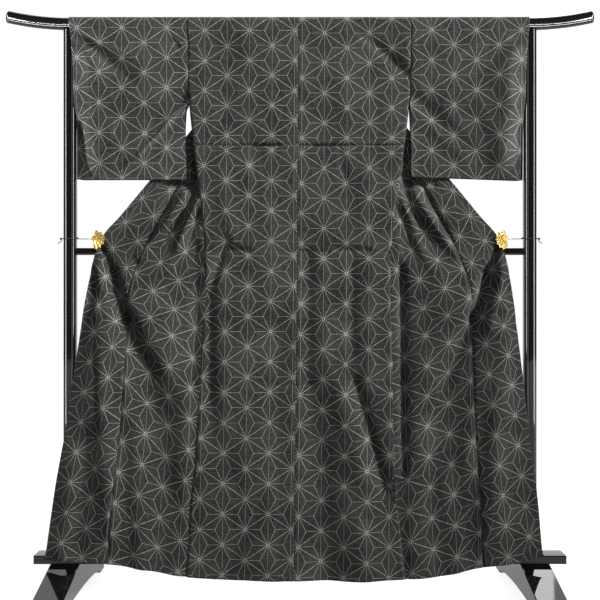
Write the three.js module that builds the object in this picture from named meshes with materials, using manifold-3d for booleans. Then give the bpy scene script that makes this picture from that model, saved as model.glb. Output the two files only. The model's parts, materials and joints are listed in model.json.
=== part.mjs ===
// A tsumugi kimono hung on its lacquered stand, seen from the garment's back.
// Millimetres, +Z up, +X to the right of someone who faces the back of the kimono,
// and -Y towards them. The origin is on the floor under the middle of the stand.
import * as THREE from 'three';
import * as BufferGeometryUtils from 'three/addons/utils/BufferGeometryUtils.js';
import Module from 'manifold-3d';

// Driving dimensions
const CLOTH = 1.6;            // thickness of every cloth wall
const SEAM = 0.3;             // gap between neighbouring pieces
const LIFT = CLOTH + SEAM;    // from one layer's middle to the next one's
const ROD_AXIS_Z = 1607;
const ROD_RADIUS = 16.8;
const ROD_HALF = 818;
const ROD_BEND_START = 640;
const ROD_TIP_RISE = 20;
const POST_X = 643;
const POST_WIDTH = 36;
const POST_DEPTH = 30;
const POST_CORNER = 11;
const RAIL_Z = 970;
const RAIL_HEIGHT = 20;
const RAIL_DEPTH = 18;
const RAIL_CORNER = 5;
const BASE_HALF = 738;
const BASE_BOTTOM = 102.5;
const BASE_HEIGHT = 24;
const BASE_DEPTH = 54;
const BASE_CORNER = 3;
const FOOT_X = 651;
const FOOT_HALF = 258;
const FOOT_WIDTH = 82;
const FOOT_FLAT = BASE_DEPTH / 2 + 2;   // half the level top that carries the base rail
const FOOT_TIP = 38;
const FOOT_HOLLOW = 1.05;     // how strongly the sloping top is hollowed, 1 for straight
const FOOT_ARCH = 27;
const FOOT_PAD_FROM = 212;
const DRAPE_GAP = 0.8;        // between the rod and the cloth that lies on it
const DRAPE_RADIUS = ROD_RADIUS + DRAPE_GAP + CLOTH / 2;
const RIDGE_HALF_GAP = 0.23;  // from the rod's top line to each layer that starts there
const CENTRE_HALF_GAP = 0.2;  // from the centre back seam to each back panel
const OKUMI_SEAM_GAP = 0.4;
const FREE_FROM = 1590;       // folds start below this height and are full
const FREE_RUN = 60;          // this much lower
const SEAM_SHARE = 0.16;      // share of a panel's width that its seam keeps free of folds
const SIDE_SEAM_GAP = 1.4;    // between the back and the front panel tucked behind it
const SEAM_TUCK = 6;          // how far a front panel runs in behind the back's side edge

// Numbers of faces
const SHOULDER_STEPS = 4;
const BACK_COLUMNS = 8;
const BACK_ROWS = 30;
const FRONT_COLUMNS = 12;
const FRONT_ROWS = SHOULDER_STEPS + 28;
const OKUMI_COLUMNS = 5;
const OKUMI_ROWS = 22;
const SLEEVE_COLUMNS = 8;
const SLEEVE_ROWS = 10;
const ROD_SIDES = 16;
const CORNER_STEPS = 3;
const FOOT_TOP_STEPS = 9;
const FOOT_ARCH_STEPS = 8;
const RING_STEPS = 12;
const STRING_SIDES = 6;
const ROD_BEND_STEPS = 5;
const COLLAR_COLUMNS = 4;
const COLLAR_ROWS = 36;

// Edges of the two back panels, at heights from the floor
const BACK_EDGES = [
  { z: 1626, left: -311, middle: -5.6, right: 308.5 },
  { z: 1470, left: -311.5, middle: -6, right: 306.5 },
  { z: 1384, left: -308, middle: -6.5, right: 304 },
  { z: 1295, left: -299.4, middle: -7, right: 294 },
  { z: 1203, left: -289, middle: -7.5, right: 281.5 },
  { z: 1139, left: -281, middle: -8, right: 270 },
  { z: 1011, left: -266, middle: -8.5, right: 256.5 },
  { z: 870, left: -264, middle: -9, right: 249 },
  { z: 724, left: -269, middle: -10.5, right: 253 },
  { z: 540, left: -280.5, middle: -12.5, right: 257 },
  { z: 403, left: -286, middle: -14.5, right: 263.5 },
  { z: 266, left: -301, middle: -16, right: 268.5 },
  { z: 60, left: -312, middle: -18, right: 289 },
];

// How far the back hangs in front of the rod's axis
const BACK_DEPTHS = [
  { z: 1607, y: -DRAPE_RADIUS },
  { z: 1384, y: -21 },
  { z: 1150, y: -27 },
  { z: 1000, y: -29 },
  { z: 700, y: -35 },
  { z: 400, y: -41 },
  { z: 60, y: -46 },
];

// The hem's height across the whole garment
const HEM = [
  { x: -710, z: 121 },
  { x: -534, z: 110.5 },
  { x: -411, z: 91.5 },
  { x: -310, z: 74 },
  { x: -190, z: 66 },
  { x: 0, z: 62.5 },
  { x: 190, z: 63.5 },
  { x: 300, z: 68 },
  { x: 410, z: 80 },
  { x: 512, z: 102 },
  { x: 603, z: 115 },
  { x: 670, z: 134 },
];

// Folds in the hanging cloth: a line, its half width, and how far it rises to the viewer
const BACK_FOLDS = [
  { x0: -202, z0: 1000, x1: -240, z1: 880, width: 12, rise: -5 },
  { x0: -254, z0: 867, x1: -251, z1: 560, width: 14, rise: -5 },
  { x0: 22, z0: 956, x1: 22, z1: 603, width: 16, rise: -5 },
  { x0: 144, z0: 956, x1: 142, z1: 670, width: 14, rise: -5 },
  { x0: 153, z0: 610, x1: 232, z1: 312, width: 15, rise: -14 },
  { x0: 108, z0: 590, x1: 190, z1: 270, width: 26, rise: 6 },
  { x0: -121, z0: 250, x1: -196, z1: 110, width: 24, rise: -7 },
  { x0: -60, z0: 330, x1: -84, z1: 60, width: 42, rise: 6 },
  { x0: 60, z0: 420, x1: 84, z1: 60, width: 36, rise: -6 },
  { x0: 170, z0: 210, x1: 190, z1: 60, width: 34, rise: 7 },
  { x0: -144, z0: 1568, x1: -288, z1: 1445, width: 16, rise: -4 },
  { x0: 167, z0: 1579, x1: 288, z1: 1468, width: 16, rise: -4 },
];
const LEFT_WING_FOLDS = [
  { x0: -528, z0: 915, x1: -476, z1: 776, width: 14, rise: -14 },
  { x0: -476, z0: 776, x1: -410, z1: 630, width: 21, rise: -11 },
  { x0: -410, z0: 630, x1: -322, z1: 150, width: 30, rise: -9 },
  { x0: -560, z0: 925, x1: -524, z1: 779, width: 13, rise: 8 },
  { x0: -524, z0: 779, x1: -440, z1: 390, width: 26, rise: 8 },
  { x0: -572, z0: 900, x1: -558, z1: 447, width: 13, rise: -5 },
  { x0: -308, z0: 1122, x1: -443, z1: 956, width: 13, rise: 9 },
  { x0: -290, z0: 1130, x1: -376, z1: 1004, width: 10, rise: -7 },
  { x0: -284, z0: 1106, x1: -340, z1: 982, width: 11, rise: 8 },
  { x0: -280, z0: 1080, x1: -316, z1: 1012, width: 9, rise: -6 },
  { x0: -390, z0: 880, x1: -350, z1: 650, width: 45, rise: 6 },
  { x0: -610, z0: 420, x1: -650, z1: 120, width: 24, rise: 7 },
  { x0: -420, z0: 330, x1: -440, z1: 90, width: 30, rise: 7 },
];
const RIGHT_WING_FOLDS = [
  { x0: 530, z0: 912, x1: 482, z1: 790, width: 15, rise: -12 },
  { x0: 482, z0: 790, x1: 404, z1: 610, width: 22, rise: -10 },
  { x0: 404, z0: 610, x1: 335, z1: 170, width: 28, rise: -8 },
  { x0: 560, z0: 920, x1: 520, z1: 760, width: 14, rise: 8 },
  { x0: 520, z0: 760, x1: 452, z1: 400, width: 28, rise: 8 },
  { x0: 304, z0: 1116, x1: 436, z1: 960, width: 14, rise: 8 },
  { x0: 300, z0: 1090, x1: 366, z1: 1008, width: 11, rise: -6 },
  { x0: 280, z0: 925, x1: 282, z1: 350, width: 12, rise: -13 },
  { x0: 380, z0: 860, x1: 345, z1: 640, width: 42, rise: 6 },
  { x0: 590, z0: 430, x1: 618, z1: 140, width: 24, rise: 7 },
  { x0: 400, z0: 320, x1: 424, z1: 90, width: 28, rise: 7 },
];
const SLEEVE_FOLDS = [
  { x0: -622, z0: 1570, x1: -470, z1: 1448, width: 17, rise: -5 },
  { x0: -318, z0: 1392, x1: -500, z1: 1205, width: 19, rise: -5 },
  { x0: 608, z0: 1556, x1: 490, z1: 1468, width: 14, rise: -5 },
  { x0: 316, z0: 1400, x1: 532, z1: 1205, width: 19, rise: -5 },
];

// A front panel from the rod to the hem, for the left side: its side edge (s), its inner
// edge (c), and between them the two handles (a, b) of the turn the cloth makes as the
// front edge is drawn outwards. Below the armpit sx and sy come from the back's edge.
const FRONT_SECTIONS = table('at sx sy sz ax ay bx by cx cy cz', [
  [0, -309.4, 18.4, 1607, -227, 18.4, -145, 18.4, -62, 18.4, 1607],
  [1, -308, 17.6, 1500, -252, 16, -196, 14.5, -140, 13.2, 1508],
  [2, -302, 12, 1389, -215, -6, -165, 7, -224, 7.6, 1406],
  [3, -293, -6, 1310, -160, -14, -150, 7, -251.5, 5.6, 1372],
  [4, -287, -14, 1240, -215, -18, -195, 3, -272, 2.4, 1310],
  [5, -282, -20, 1180, -250, -20, -240, -2, -296, -2.6, 1245],
  [6, -273, -24, 1115, -280, -15, -305, -9, -340, -8.6, 1160],
  [7, -264, -26, 1045, -305, -20, -347, -15.5, -392, -13.8, 1062],
  [8, -260, -27, 970, -318, -24, -376, -21, -434, -18.5, 976],
  [9, -258, -29, 880, -328, -27, -398, -25, -469, -23, 882],
  [10, -262, -31, 760, -334, -31, -407, -30, -480, -28, 760],
  [11, -270, -34, 610, -342, -34, -414, -33, -486, -31, 610],
  [12, -279, -36, 440, -352, -37, -425, -36, -499, -34, 440],
  [13, -292, -40, 260, -368, -40, -443, -39, -519, -36, 260],
  [14, -305, -43, 74, -382, -42, -458, -41, -535, -38, 110],
]);
const LAST_SECTION = FRONT_SECTIONS.length - 1;
const HEM_SECTION = 12;       // below this section the rows lean into the hem's line
const OKUMI_TOP = 3;          // the okumi starts at this section of the front
const SEAM_SECTION = 5.6;     // the side seam starts here
const FOLDS_FROM = 5;
const FOLDS_FULL = 6.6;

// The okumi's free edge: along the collar line to the clip, then down to the hem
const OKUMI_EDGE = [
  { at: 3, x: -262, y: 5.2, z: 1366 },
  { at: 4, x: -308, y: 2, z: 1306 },
  { at: 5, x: -366, y: -2.4, z: 1233 },
  { at: 6, x: -430, y: -6.6, z: 1155 },
  { at: 7, x: -494, y: -11.2, z: 1076 },
  { at: 8, x: -555, y: -15.5, z: 1001 },
  { at: 9, x: -586, y: -20, z: 888 },
  { at: 10, x: -603, y: -25, z: 760 },
  { at: 11, x: -627, y: -29, z: 610 },
  { at: 12, x: -652, y: -33, z: 440 },
  { at: 13, x: -685, y: -36, z: 260 },
  { at: 14, x: -709, y: -38, z: 121 },
];

// The right wing was drawn out a little less towards the hem
const RIGHT_REACH = [
  { z: 1607, factor: 1 },
  { z: 1000, factor: 1 },
  { z: 345, factor: 0.965 },
  { z: 60, factor: 0.94 },
];

// Sleeves: the outer edge, and the depths of both layers from the body (body) to the
// cuff (cuff), with the middle and a line near the cuff between them
const SLEEVE_EDGES = [
  { z: 1626, left: -645, right: 639 },
  { z: 1607, left: -642, right: 638 },
  { z: 1540, left: -634, right: 632 },
  { z: 1470, left: -629.5, right: 627.5 },
  { z: 1389, left: -627.5, right: 625 },
  { z: 1358, left: -623.6, right: 622.8 },
  { z: 1160, left: -623.4, right: 622.4 },
];
const SLEEVE_NEAR_SIDE = [
  { z: 1607, body: -18.4, middle: -18.4, near: -18.4, cuff: -18.4 },
  { z: 1520, body: -19, middle: -19, near: -19.2, cuff: -19.4 },
  { z: 1389, body: -21, middle: -19, near: -19.2, cuff: -19.8 },
  { z: 1345, body: -20.4, middle: -18.4, near: -18, cuff: -13 },
  { z: 1300, body: -19.4, middle: -17.6, near: -16, cuff: -3 },
  { z: 1230, body: -16.5, middle: -15.4, near: -12, cuff: -1.2 },
  { z: 1164, body: -13.2, middle: -12.6, near: -8, cuff: -1.2 },
];
const SLEEVE_FAR_SIDE = [
  { z: 1607, body: 18.4, middle: 18.4, near: 18.4, cuff: 18.4 },
  { z: 1520, body: 17.6, middle: 17.9, near: 18.3, cuff: 18.8 },
  { z: 1389, body: 12.2, middle: 14.2, near: 17, cuff: 18.8 },
  { z: 1345, body: 5, middle: 9.5, near: 13.5, cuff: 13 },
  { z: 1300, body: -3.5, middle: 4, near: 9, cuff: 3.4 },
  { z: 1230, body: -7.4, middle: -4.6, near: 0.5, cuff: 1.2 },
  { z: 1164, body: -10.8, middle: -10.2, near: -5.6, cuff: 1.2 },
];
const SLEEVE_INNER = [
  { z: 1626, left: -311.5, right: 309 },
  { z: 1470, left: -312, right: 307 },
  { z: 1386, left: -309, right: 304.8 },
  { z: 1362, left: -318, right: 306 },
  { z: 1280, left: -319, right: 307.5 },
  { z: 1160, left: -315, right: 308.5 },
];
const SLEEVE_TURN = 0.85;        // share of a sleeve's width where it turns in to the cuff
const SLEEVE_BOTTOM = { left: { body: 1168, cuff: 1169 }, right: { body: 1176, cuff: 1166 } };

// The collar: a folded band from clip to clip, over the rod at the neck
const COLLAR_WIDTH = 58;
const NECK_HALF = 62;
const NECK_SEAM_ANGLE = 0.3;     // where the back of the neck lies on the rod, from its top
const COLLAR_RADIUS = DRAPE_RADIUS + LIFT + 0.1;
const COLLAR_END = { x: 555, y: -13.2, z: 1000 };
const COLLAR_STAND_OFF = 4;      // how far the band's free edge stands off at the neck
const NECK_ROWS = 0.3;           // share of the rows of each half that the neck takes
const OVER_COLLAR_REACH = 0.7;   // share of the rows that the over-collar covers
const OVER_COLLAR_LIFT = LIFT + 0.2;

// Clips and their strings, measured for the right side. The fan's edge runs from rib to
// dip to rib, on rays from its root; 0 degrees is towards the garment's middle
const CLIP_ROOT = { x: 574, z: 1007 };
const CLIP_RAYS = table('angle radius', [
  [78, 14],
  [67, 16.5],
  [56, 22],
  [45, 22],
  [34, 27.5],
  [23, 26],
  [12, 30],
  [1, 27.5],
  [-10, 31],
  [-21, 28],
  [-32, 32],
  [-43, 29],
  [-54, 33],
  [-65, 29.5],
  [-76, 33],
  [-87, 26],
  [-98, 24],
]);
const CLIP_FRONT_Y = -17.3;
const CLIP_BACK_Y = -12;
const CLIP_PLATE = 2.2;
const CLIP_JAW = 1.2;
const CLIP_TAB = { from: 569, to: 561, bottom: 1005, top: 1027.5 };
const CLIP_COVER = { from: 578, to: 564, bottom: 999, top: 1013 };
const CLIP_BOW = { from: 577, to: 570, bottom: 1000, top: 1012 };
const CLIP_GRIP = { from: 577, to: 554, bottom: 999, top: 1013 };
const CLIP_RING = { x: 581.5, z: 1004, radius: 3.6, wire: 1, inset: 1 };
const STRING_RADIUS = 1.2;
const STRING_Y = CLIP_FRONT_Y + 2;
const STRING_STAND_OFF = 0.8;    // between the string and the post
const STRING_CORNER = 7;

// One turn round the post: its corners as shares of the half width and half depth, with
// which of them is cut short, and how far the string has climbed
const STRING_TURN = table('x y cutX cutY climb', [
  [1, -1, 1, 0, 0.6],
  [0, -1, 0, 0, 1.2],
  [-1, -1, 1, 0, 1.8],
  [-1, -1, 0, 1, 2.2],
  [-1, 1, 0, 1, 2.8],
  [-1, 1, 1, 0, 3.2],
  [0, 1, 0, 0, 3.6],
  [1, 1, 1, 0, 4],
  [1, 1, 0, 1, 4.4],
  [1, -1, 0, 1, 4.8],
]);

const COLOURS = {
  cloth: { color: 0x2b2a29, roughness: 0.85, metalness: 0 },
  lacquer: { color: 0x0a0a0b, roughness: 0.12, metalness: 0 },
  gold: { color: 0xc99a3c, roughness: 0.3, metalness: 1 },
  string: { color: 0x1d1b22, roughness: 0.9, metalness: 0 },
};

const wasm = await Module();
wasm.setup();
const garment = new THREE.Group();

// ---- small helpers ----

// Rows of numbers as objects that name their columns
function table(columns, rows) {
  const names = columns.split(' ');
  return rows.map((row) => Object.fromEntries(names.map((name, i) => [name, row[i]])));
}

function clamp01(value) {
  return Math.min(1, Math.max(0, value));
}

function ease(value) {
  const t = clamp01(value);
  return t * t * (3 - 2 * t);
}

function mix(a, b, t) {
  return a + (b - a) * t;
}

// The smooth value of one named column of a table, at a place along its key column
function track(rows, key, column, at) {
  const last = rows.length - 1;
  const rising = rows[last][key] > rows[0][key];
  let i = 0;
  while (i < last - 1 && (rising ? at > rows[i + 1][key] : at < rows[i + 1][key])) {
    i += 1;
  }
  const slope = (j) => {
    const low = rows[Math.max(0, j - 1)];
    const high = rows[Math.min(last, j + 1)];
    return (high[column] - low[column]) / (high[key] - low[key]);
  };
  const span = rows[i + 1][key] - rows[i][key];
  const t = clamp01((at - rows[i][key]) / span);
  const rise = t * (1 - t) * (1 - t) * slope(i) * span;
  const fall = t * t * (1 - t) * slope(i + 1) * span;
  return mix(rows[i][column], rows[i + 1][column], t * t * (3 - 2 * t)) + rise - fall;
}

// How far the folds of a table bring the cloth towards the viewer at a point
function foldRise(folds, x, z) {
  let rise = 0;
  for (const fold of folds) {
    const dx = fold.x1 - fold.x0;
    const dz = fold.z1 - fold.z0;
    const along = clamp01(((x - fold.x0) * dx + (z - fold.z0) * dz) / (dx * dx + dz * dz));
    const away = Math.hypot(x - fold.x0 - along * dx, z - fold.z0 - along * dz);
    rise += fold.rise * Math.exp(-((away / fold.width) ** 2));
  }
  return rise;
}

function addMesh(name, geometry, look) {
  const material = new THREE.MeshStandardMaterial(COLOURS[look]);
  const mesh = new THREE.Mesh(geometry, material);
  mesh.name = name;
  garment.add(mesh);
  return mesh;
}

// A closed solid from a grid of outer points and a matching grid of inner points
function closedShell(outer, inner) {
  const rows = outer.length;
  const columns = outer[0].length;
  const position = [];
  for (const grid of [outer, inner]) {
    for (const row of grid) {
      for (const point of row) {
        position.push(point.x, point.y, point.z);
      }
    }
  }
  const index = [];
  const id = (layer, r, c) => (layer * rows + r) * columns + c;
  const quad = (a, b, c, d) => index.push(a, b, c, a, c, d);
  for (let r = 0; r + 1 < rows; r += 1) {
    for (let c = 0; c + 1 < columns; c += 1) {
      quad(id(0, r, c), id(0, r + 1, c), id(0, r + 1, c + 1), id(0, r, c + 1));
      quad(id(1, r, c), id(1, r, c + 1), id(1, r + 1, c + 1), id(1, r + 1, c));
    }
    quad(id(0, r, 0), id(1, r, 0), id(1, r + 1, 0), id(0, r + 1, 0));
    const last = columns - 1;
    quad(id(0, r, last), id(0, r + 1, last), id(1, r + 1, last), id(1, r, last));
  }
  for (let c = 0; c + 1 < columns; c += 1) {
    quad(id(0, 0, c), id(0, 0, c + 1), id(1, 0, c + 1), id(1, 0, c));
    const last = rows - 1;
    quad(id(0, last, c), id(1, last, c), id(1, last, c + 1), id(0, last, c + 1));
  }
  const geometry = new THREE.BufferGeometry();
  geometry.setAttribute('position', new THREE.Float32BufferAttribute(position, 3));
  geometry.setIndex(volumeOf(position, index) < 0 ? reversed(index) : index);
  return geometry;
}

function volumeOf(position, index) {
  let volume = 0;
  const corner = (i) => new THREE.Vector3().fromArray(position, index[i] * 3);
  for (let i = 0; i < index.length; i += 3) {
    volume += corner(i).dot(corner(i + 1).cross(corner(i + 2)));
  }
  return volume / 6;
}

function reversed(index) {
  const flipped = [];
  for (let i = 0; i < index.length; i += 3) {
    flipped.push(index[i], index[i + 2], index[i + 1]);
  }
  return flipped;
}

// A cloth wall of even thickness round the surface place(u, v)
function clothWall(place, columns, rows) {
  const middle = [];
  for (let r = 0; r <= rows; r += 1) {
    const row = [];
    for (let c = 0; c <= columns; c += 1) {
      row.push(place(c / columns, r / rows));
    }
    middle.push(row);
  }
  const side = (distance) => middle.map((row, r) => row.map((point, c) => {
    const across = row[Math.min(columns, c + 1)].clone().sub(row[Math.max(0, c - 1)]);
    const below = middle[Math.min(rows, r + 1)][c];
    const down = below.clone().sub(middle[Math.max(0, r - 1)][c]);
    const normal = across.cross(down).normalize();
    return point.clone().addScaledVector(normal, distance);
  }));
  return closedShell(side(CLOTH / 2), side(-CLOTH / 2));
}

// ---- the cloth's surfaces ----

// Rows start on top of the rod, turn down over it and then hang
function shoulderRow(v, rows, sign) {
  const step = v * rows;
  if (step > SHOULDER_STEPS) {
    return null;
  }
  const angle = mix(RIDGE_HALF_GAP / DRAPE_RADIUS, Math.PI / 2, step / SHOULDER_STEPS);
  return {
    y: sign * DRAPE_RADIUS * Math.sin(angle),
    z: ROD_AXIS_Z + DRAPE_RADIUS * Math.cos(angle),
  };
}

// Nought on the rod and 1 where the cloth hangs free
function freed(z) {
  return ease((FREE_FROM - z) / FREE_RUN);
}

function backDepth(x, z) {
  return track(BACK_DEPTHS, 'z', 'y', z) - freed(z) * foldRise(BACK_FOLDS, x, z);
}

function backSurface(fromEdge, toEdge, inset0, inset1) {
  return (u, v) => {
    const top = shoulderRow(v, BACK_ROWS, -1);
    const fall = clamp01((v * BACK_ROWS - SHOULDER_STEPS) / (BACK_ROWS - SHOULDER_STEPS));
    let z = top ? top.z : mix(ROD_AXIS_Z, track(HEM, 'x', 'z', 0), fall);
    const x0 = track(BACK_EDGES, 'z', fromEdge, z) + inset0;
    const x1 = track(BACK_EDGES, 'z', toEdge, z) + inset1;
    const x = mix(x0, x1, u);
    if (top) {
      return new THREE.Vector3(x, top.y, z);
    }
    z = mix(ROD_AXIS_Z, track(HEM, 'x', 'z', x), fall);
    return new THREE.Vector3(x, backDepth(x, z), z);
  };
}

// Sides: -1 is the left of the view, which the tables describe, and 1 the right
function reach(side, z) {
  return side < 0 ? 1 : track(RIGHT_REACH, 'z', 'factor', z);
}

function wingRise(side, x, z, at) {
  const folds = side < 0 ? LEFT_WING_FOLDS : RIGHT_WING_FOLDS;
  return foldRise(folds, x, z) * ease((at - FOLDS_FROM) / (FOLDS_FULL - FOLDS_FROM));
}

function hemmed(x, z, at) {
  const low = ease((at - HEM_SECTION) / (LAST_SECTION - HEM_SECTION));
  return mix(z, track(HEM, 'x', 'z', x), low * low * low);
}

function sideSeam(side, section, at) {
  const edge = track(BACK_EDGES, 'z', side < 0 ? 'left' : 'right', section.sz);
  const freeX = mix(edge, -side * section.sx, ease(at - 1));
  const sewnX = edge - side * SEAM_TUCK;
  const sewnY = backDepth(sewnX, section.sz) + LIFT + SIDE_SEAM_GAP;
  const sewn = ease(at - SEAM_SECTION + 1);
  return { x: mix(freeX, sewnX, sewn), y: mix(section.sy, sewnY, sewn) };
}

function frontSection(at) {
  const section = {};
  for (const column of Object.keys(FRONT_SECTIONS[0])) {
    section[column] = track(FRONT_SECTIONS, 'at', column, at);
  }
  return section;
}

function frontSurface(side) {
  return (u, v) => {
    const top = shoulderRow(v, FRONT_ROWS, 1);
    const fall = clamp01((v * FRONT_ROWS - SHOULDER_STEPS) / (FRONT_ROWS - SHOULDER_STEPS));
    const at = fall * LAST_SECTION;
    const section = frontSection(at);
    const seam = sideSeam(side, section, at);
    const mirrored = (x) => -side * x * reach(side, section.cz);
    const x = bezier(seam.x, mirrored(section.ax), mirrored(section.bx), mirrored(section.cx), u);
    if (top) {
      return new THREE.Vector3(x, top.y, top.z);
    }
    const flatY = bezier(seam.y, section.ay, section.by, section.cy, u);
    const flatZ = hemmed(x, mix(section.sz, section.cz, u), at);
    const rise = wingRise(side, x, flatZ, at) * ease(u / SEAM_SHARE);
    return new THREE.Vector3(x, flatY - rise, flatZ);
  };
}

function bezier(a, b, c, d, t) {
  const s = 1 - t;
  return s * s * s * a + 3 * s * s * t * b + 3 * s * t * t * c + t * t * t * d;
}

function okumiSurface(side) {
  return (u, v) => {
    const at = mix(OKUMI_TOP, LAST_SECTION, v);
    const section = frontSection(at);
    const z0 = section.cz;
    const z1 = track(OKUMI_EDGE, 'at', 'z', at);
    const seamX = -side * section.cx * reach(side, z0) + side * OKUMI_SEAM_GAP;
    const edgeX = -side * track(OKUMI_EDGE, 'at', 'x', at) * reach(side, z1);
    const x = mix(seamX, edgeX, u);
    const z = hemmed(x, mix(z0, z1, u), at);
    const y = mix(section.cy, track(OKUMI_EDGE, 'at', 'y', at), u);
    return new THREE.Vector3(x, y - wingRise(side, x, z, at), z);
  };
}

function sleeveDepth(depths, z, s) {
  const body = track(depths, 'z', 'body', z);
  const middle = track(depths, 'z', 'middle', z);
  const near = track(depths, 'z', 'near', z);
  const cuff = track(depths, 'z', 'cuff', z);
  if (s < 0.5) {
    return mix(body, middle, ease(s / 0.5));
  }
  if (s < SLEEVE_TURN) {
    return mix(middle, near, (s - 0.5) / (SLEEVE_TURN - 0.5));
  }
  const turn = (s - SLEEVE_TURN) / (1 - SLEEVE_TURN);
  return mix(near, cuff, turn * turn);
}

function sleeveSurface(edge, sign) {
  const depths = sign < 0 ? SLEEVE_NEAR_SIDE : SLEEVE_FAR_SIDE;
  const bottom = SLEEVE_BOTTOM[edge];
  return (u, v) => {
    const top = shoulderRow(v, SLEEVE_ROWS, sign);
    const fall = clamp01((v * SLEEVE_ROWS - SHOULDER_STEPS) / (SLEEVE_ROWS - SHOULDER_STEPS));
    const hemZ = mix(bottom.body, bottom.cuff, u);
    const z = top ? top.z : mix(ROD_AXIS_Z, hemZ, fall);
    const inner = track(SLEEVE_INNER, 'z', edge, z);
    const outer = track(SLEEVE_EDGES, 'z', edge, z);
    const x = mix(inner, outer, u);
    if (top) {
      return new THREE.Vector3(x, top.y, z);
    }
    const free = freed(z) * clamp01((z - hemZ) / FREE_RUN) * clamp01((1 - u) / SEAM_SHARE);
    const rise = foldRise(SLEEVE_FOLDS, x, z) * free;
    return new THREE.Vector3(x, sleeveDepth(depths, z, u) + sign * rise, z);
  };
}

// ---- collar ----

// A point on the sheet that lies over the rod: x, and the way down the far side from the
// rod's top
function overRod(x, way, radius) {
  const quarter = radius * (Math.PI / 2);
  if (way < quarter) {
    const angle = way / radius;
    const y = radius * Math.sin(angle);
    return new THREE.Vector3(x, y, ROD_AXIS_Z + radius * Math.cos(angle));
  }
  return new THREE.Vector3(x, radius, ROD_AXIS_Z - way + quarter);
}

// The collar band from clip to clip; u runs across it from its seam to its free edge
function collarSurface(reachShare, lift) {
  const radius = COLLAR_RADIUS + lift;
  const fallX = COLLAR_END.x - NECK_HALF;
  const fallZ = ROD_AXIS_Z - COLLAR_END.z;
  const length = Math.hypot(fallX, fallZ);
  return (u, v) => {
    const signed = (v * 2 - 1) * reachShare;
    const side = signed < 0 ? -1 : 1;
    const run = Math.abs(signed);
    const round = clamp01(run / NECK_ROWS);
    const along = clamp01((run - NECK_ROWS) / (1 - NECK_ROWS));
    const inwards = (fallZ / length) * COLLAR_WIDTH * ease(round);
    const down = mix(COLLAR_WIDTH, (fallX / length) * COLLAR_WIDTH, ease(round));
    const start = mix(NECK_SEAM_ANGLE, Math.PI / 2, ease(round)) * radius;
    const x = side * (NECK_HALF * round + fallX * along - inwards * u);
    const point = overRod(x, start + fallZ * along + down * u, radius);
    const taut = mix(0, COLLAR_END.y + lift - radius, along);
    point.y += taut + COLLAR_STAND_OFF * u * round * (1 - along);
    return point;
  };
}

// ---- the stand ----

// A tube through a list of points, with flat ends
function tube(points, radius, sides) {
  const position = [];
  const index = [];
  let across = new THREE.Vector3(0, 0, 1);
  points.forEach((point, i) => {
    const ahead = points[Math.min(points.length - 1, i + 1)];
    const behind = points[Math.max(0, i - 1)];
    const along = ahead.clone().sub(behind).normalize();
    across = across.clone().addScaledVector(along, -across.dot(along)).normalize();
    const other = along.clone().cross(across);
    for (let k = 0; k < sides; k += 1) {
      const angle = ((k + 0.5) / sides) * Math.PI * 2;
      const rim = point.clone().addScaledVector(across, radius * Math.cos(angle));
      rim.addScaledVector(other, radius * Math.sin(angle));
      position.push(rim.x, rim.y, rim.z);
    }
  });
  const last = points.length - 1;
  for (let k = 0; k < sides; k += 1) {
    const next = (k + 1) % sides;
    for (let i = 0; i < last; i += 1) {
      const a = i * sides;
      const b = a + sides;
      index.push(a + k, a + next, b + next, a + k, b + next, b + k);
    }
    if (k > 0 && k < sides - 1) {
      const end = last * sides;
      index.push(0, k + 1, k, end, end + k, end + k + 1);
    }
  }
  const geometry = new THREE.BufferGeometry();
  geometry.setAttribute('position', new THREE.Float32BufferAttribute(position, 3));
  geometry.setIndex(volumeOf(position, index) < 0 ? reversed(index) : index);
  return geometry;
}

function rodGeometry() {
  const half = [];
  for (let i = 0; i <= ROD_BEND_STEPS; i += 1) {
    const past = i / ROD_BEND_STEPS;
    const x = mix(ROD_BEND_START, ROD_HALF, past);
    half.push(new THREE.Vector3(x, 0, ROD_AXIS_Z + ROD_TIP_RISE * past * past));
  }
  const mirrored = half.map((point) => new THREE.Vector3(-point.x, 0, point.z)).reverse();
  return tube([...mirrored, ...half], ROD_RADIUS, ROD_SIDES);
}

function roundedRectangle(width, depth, radius) {
  const shape = new THREE.Shape();
  const x = width / 2;
  const y = depth / 2;
  shape.moveTo(-x + radius, -y);
  shape.lineTo(x - radius, -y);
  shape.absarc(x - radius, -y + radius, radius, -Math.PI / 2, 0, false);
  shape.lineTo(x, y - radius);
  shape.absarc(x - radius, y - radius, radius, 0, Math.PI / 2, false);
  shape.lineTo(-x + radius, y);
  shape.absarc(-x + radius, y - radius, radius, Math.PI / 2, Math.PI, false);
  shape.lineTo(-x, -y + radius);
  shape.absarc(-x + radius, -y + radius, radius, Math.PI, Math.PI * 1.5, false);
  return shape;
}

function bar(shape, length) {
  const settings = { depth: length, bevelEnabled: false, curveSegments: CORNER_STEPS };
  return new THREE.ExtrudeGeometry(shape, settings);
}

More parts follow.
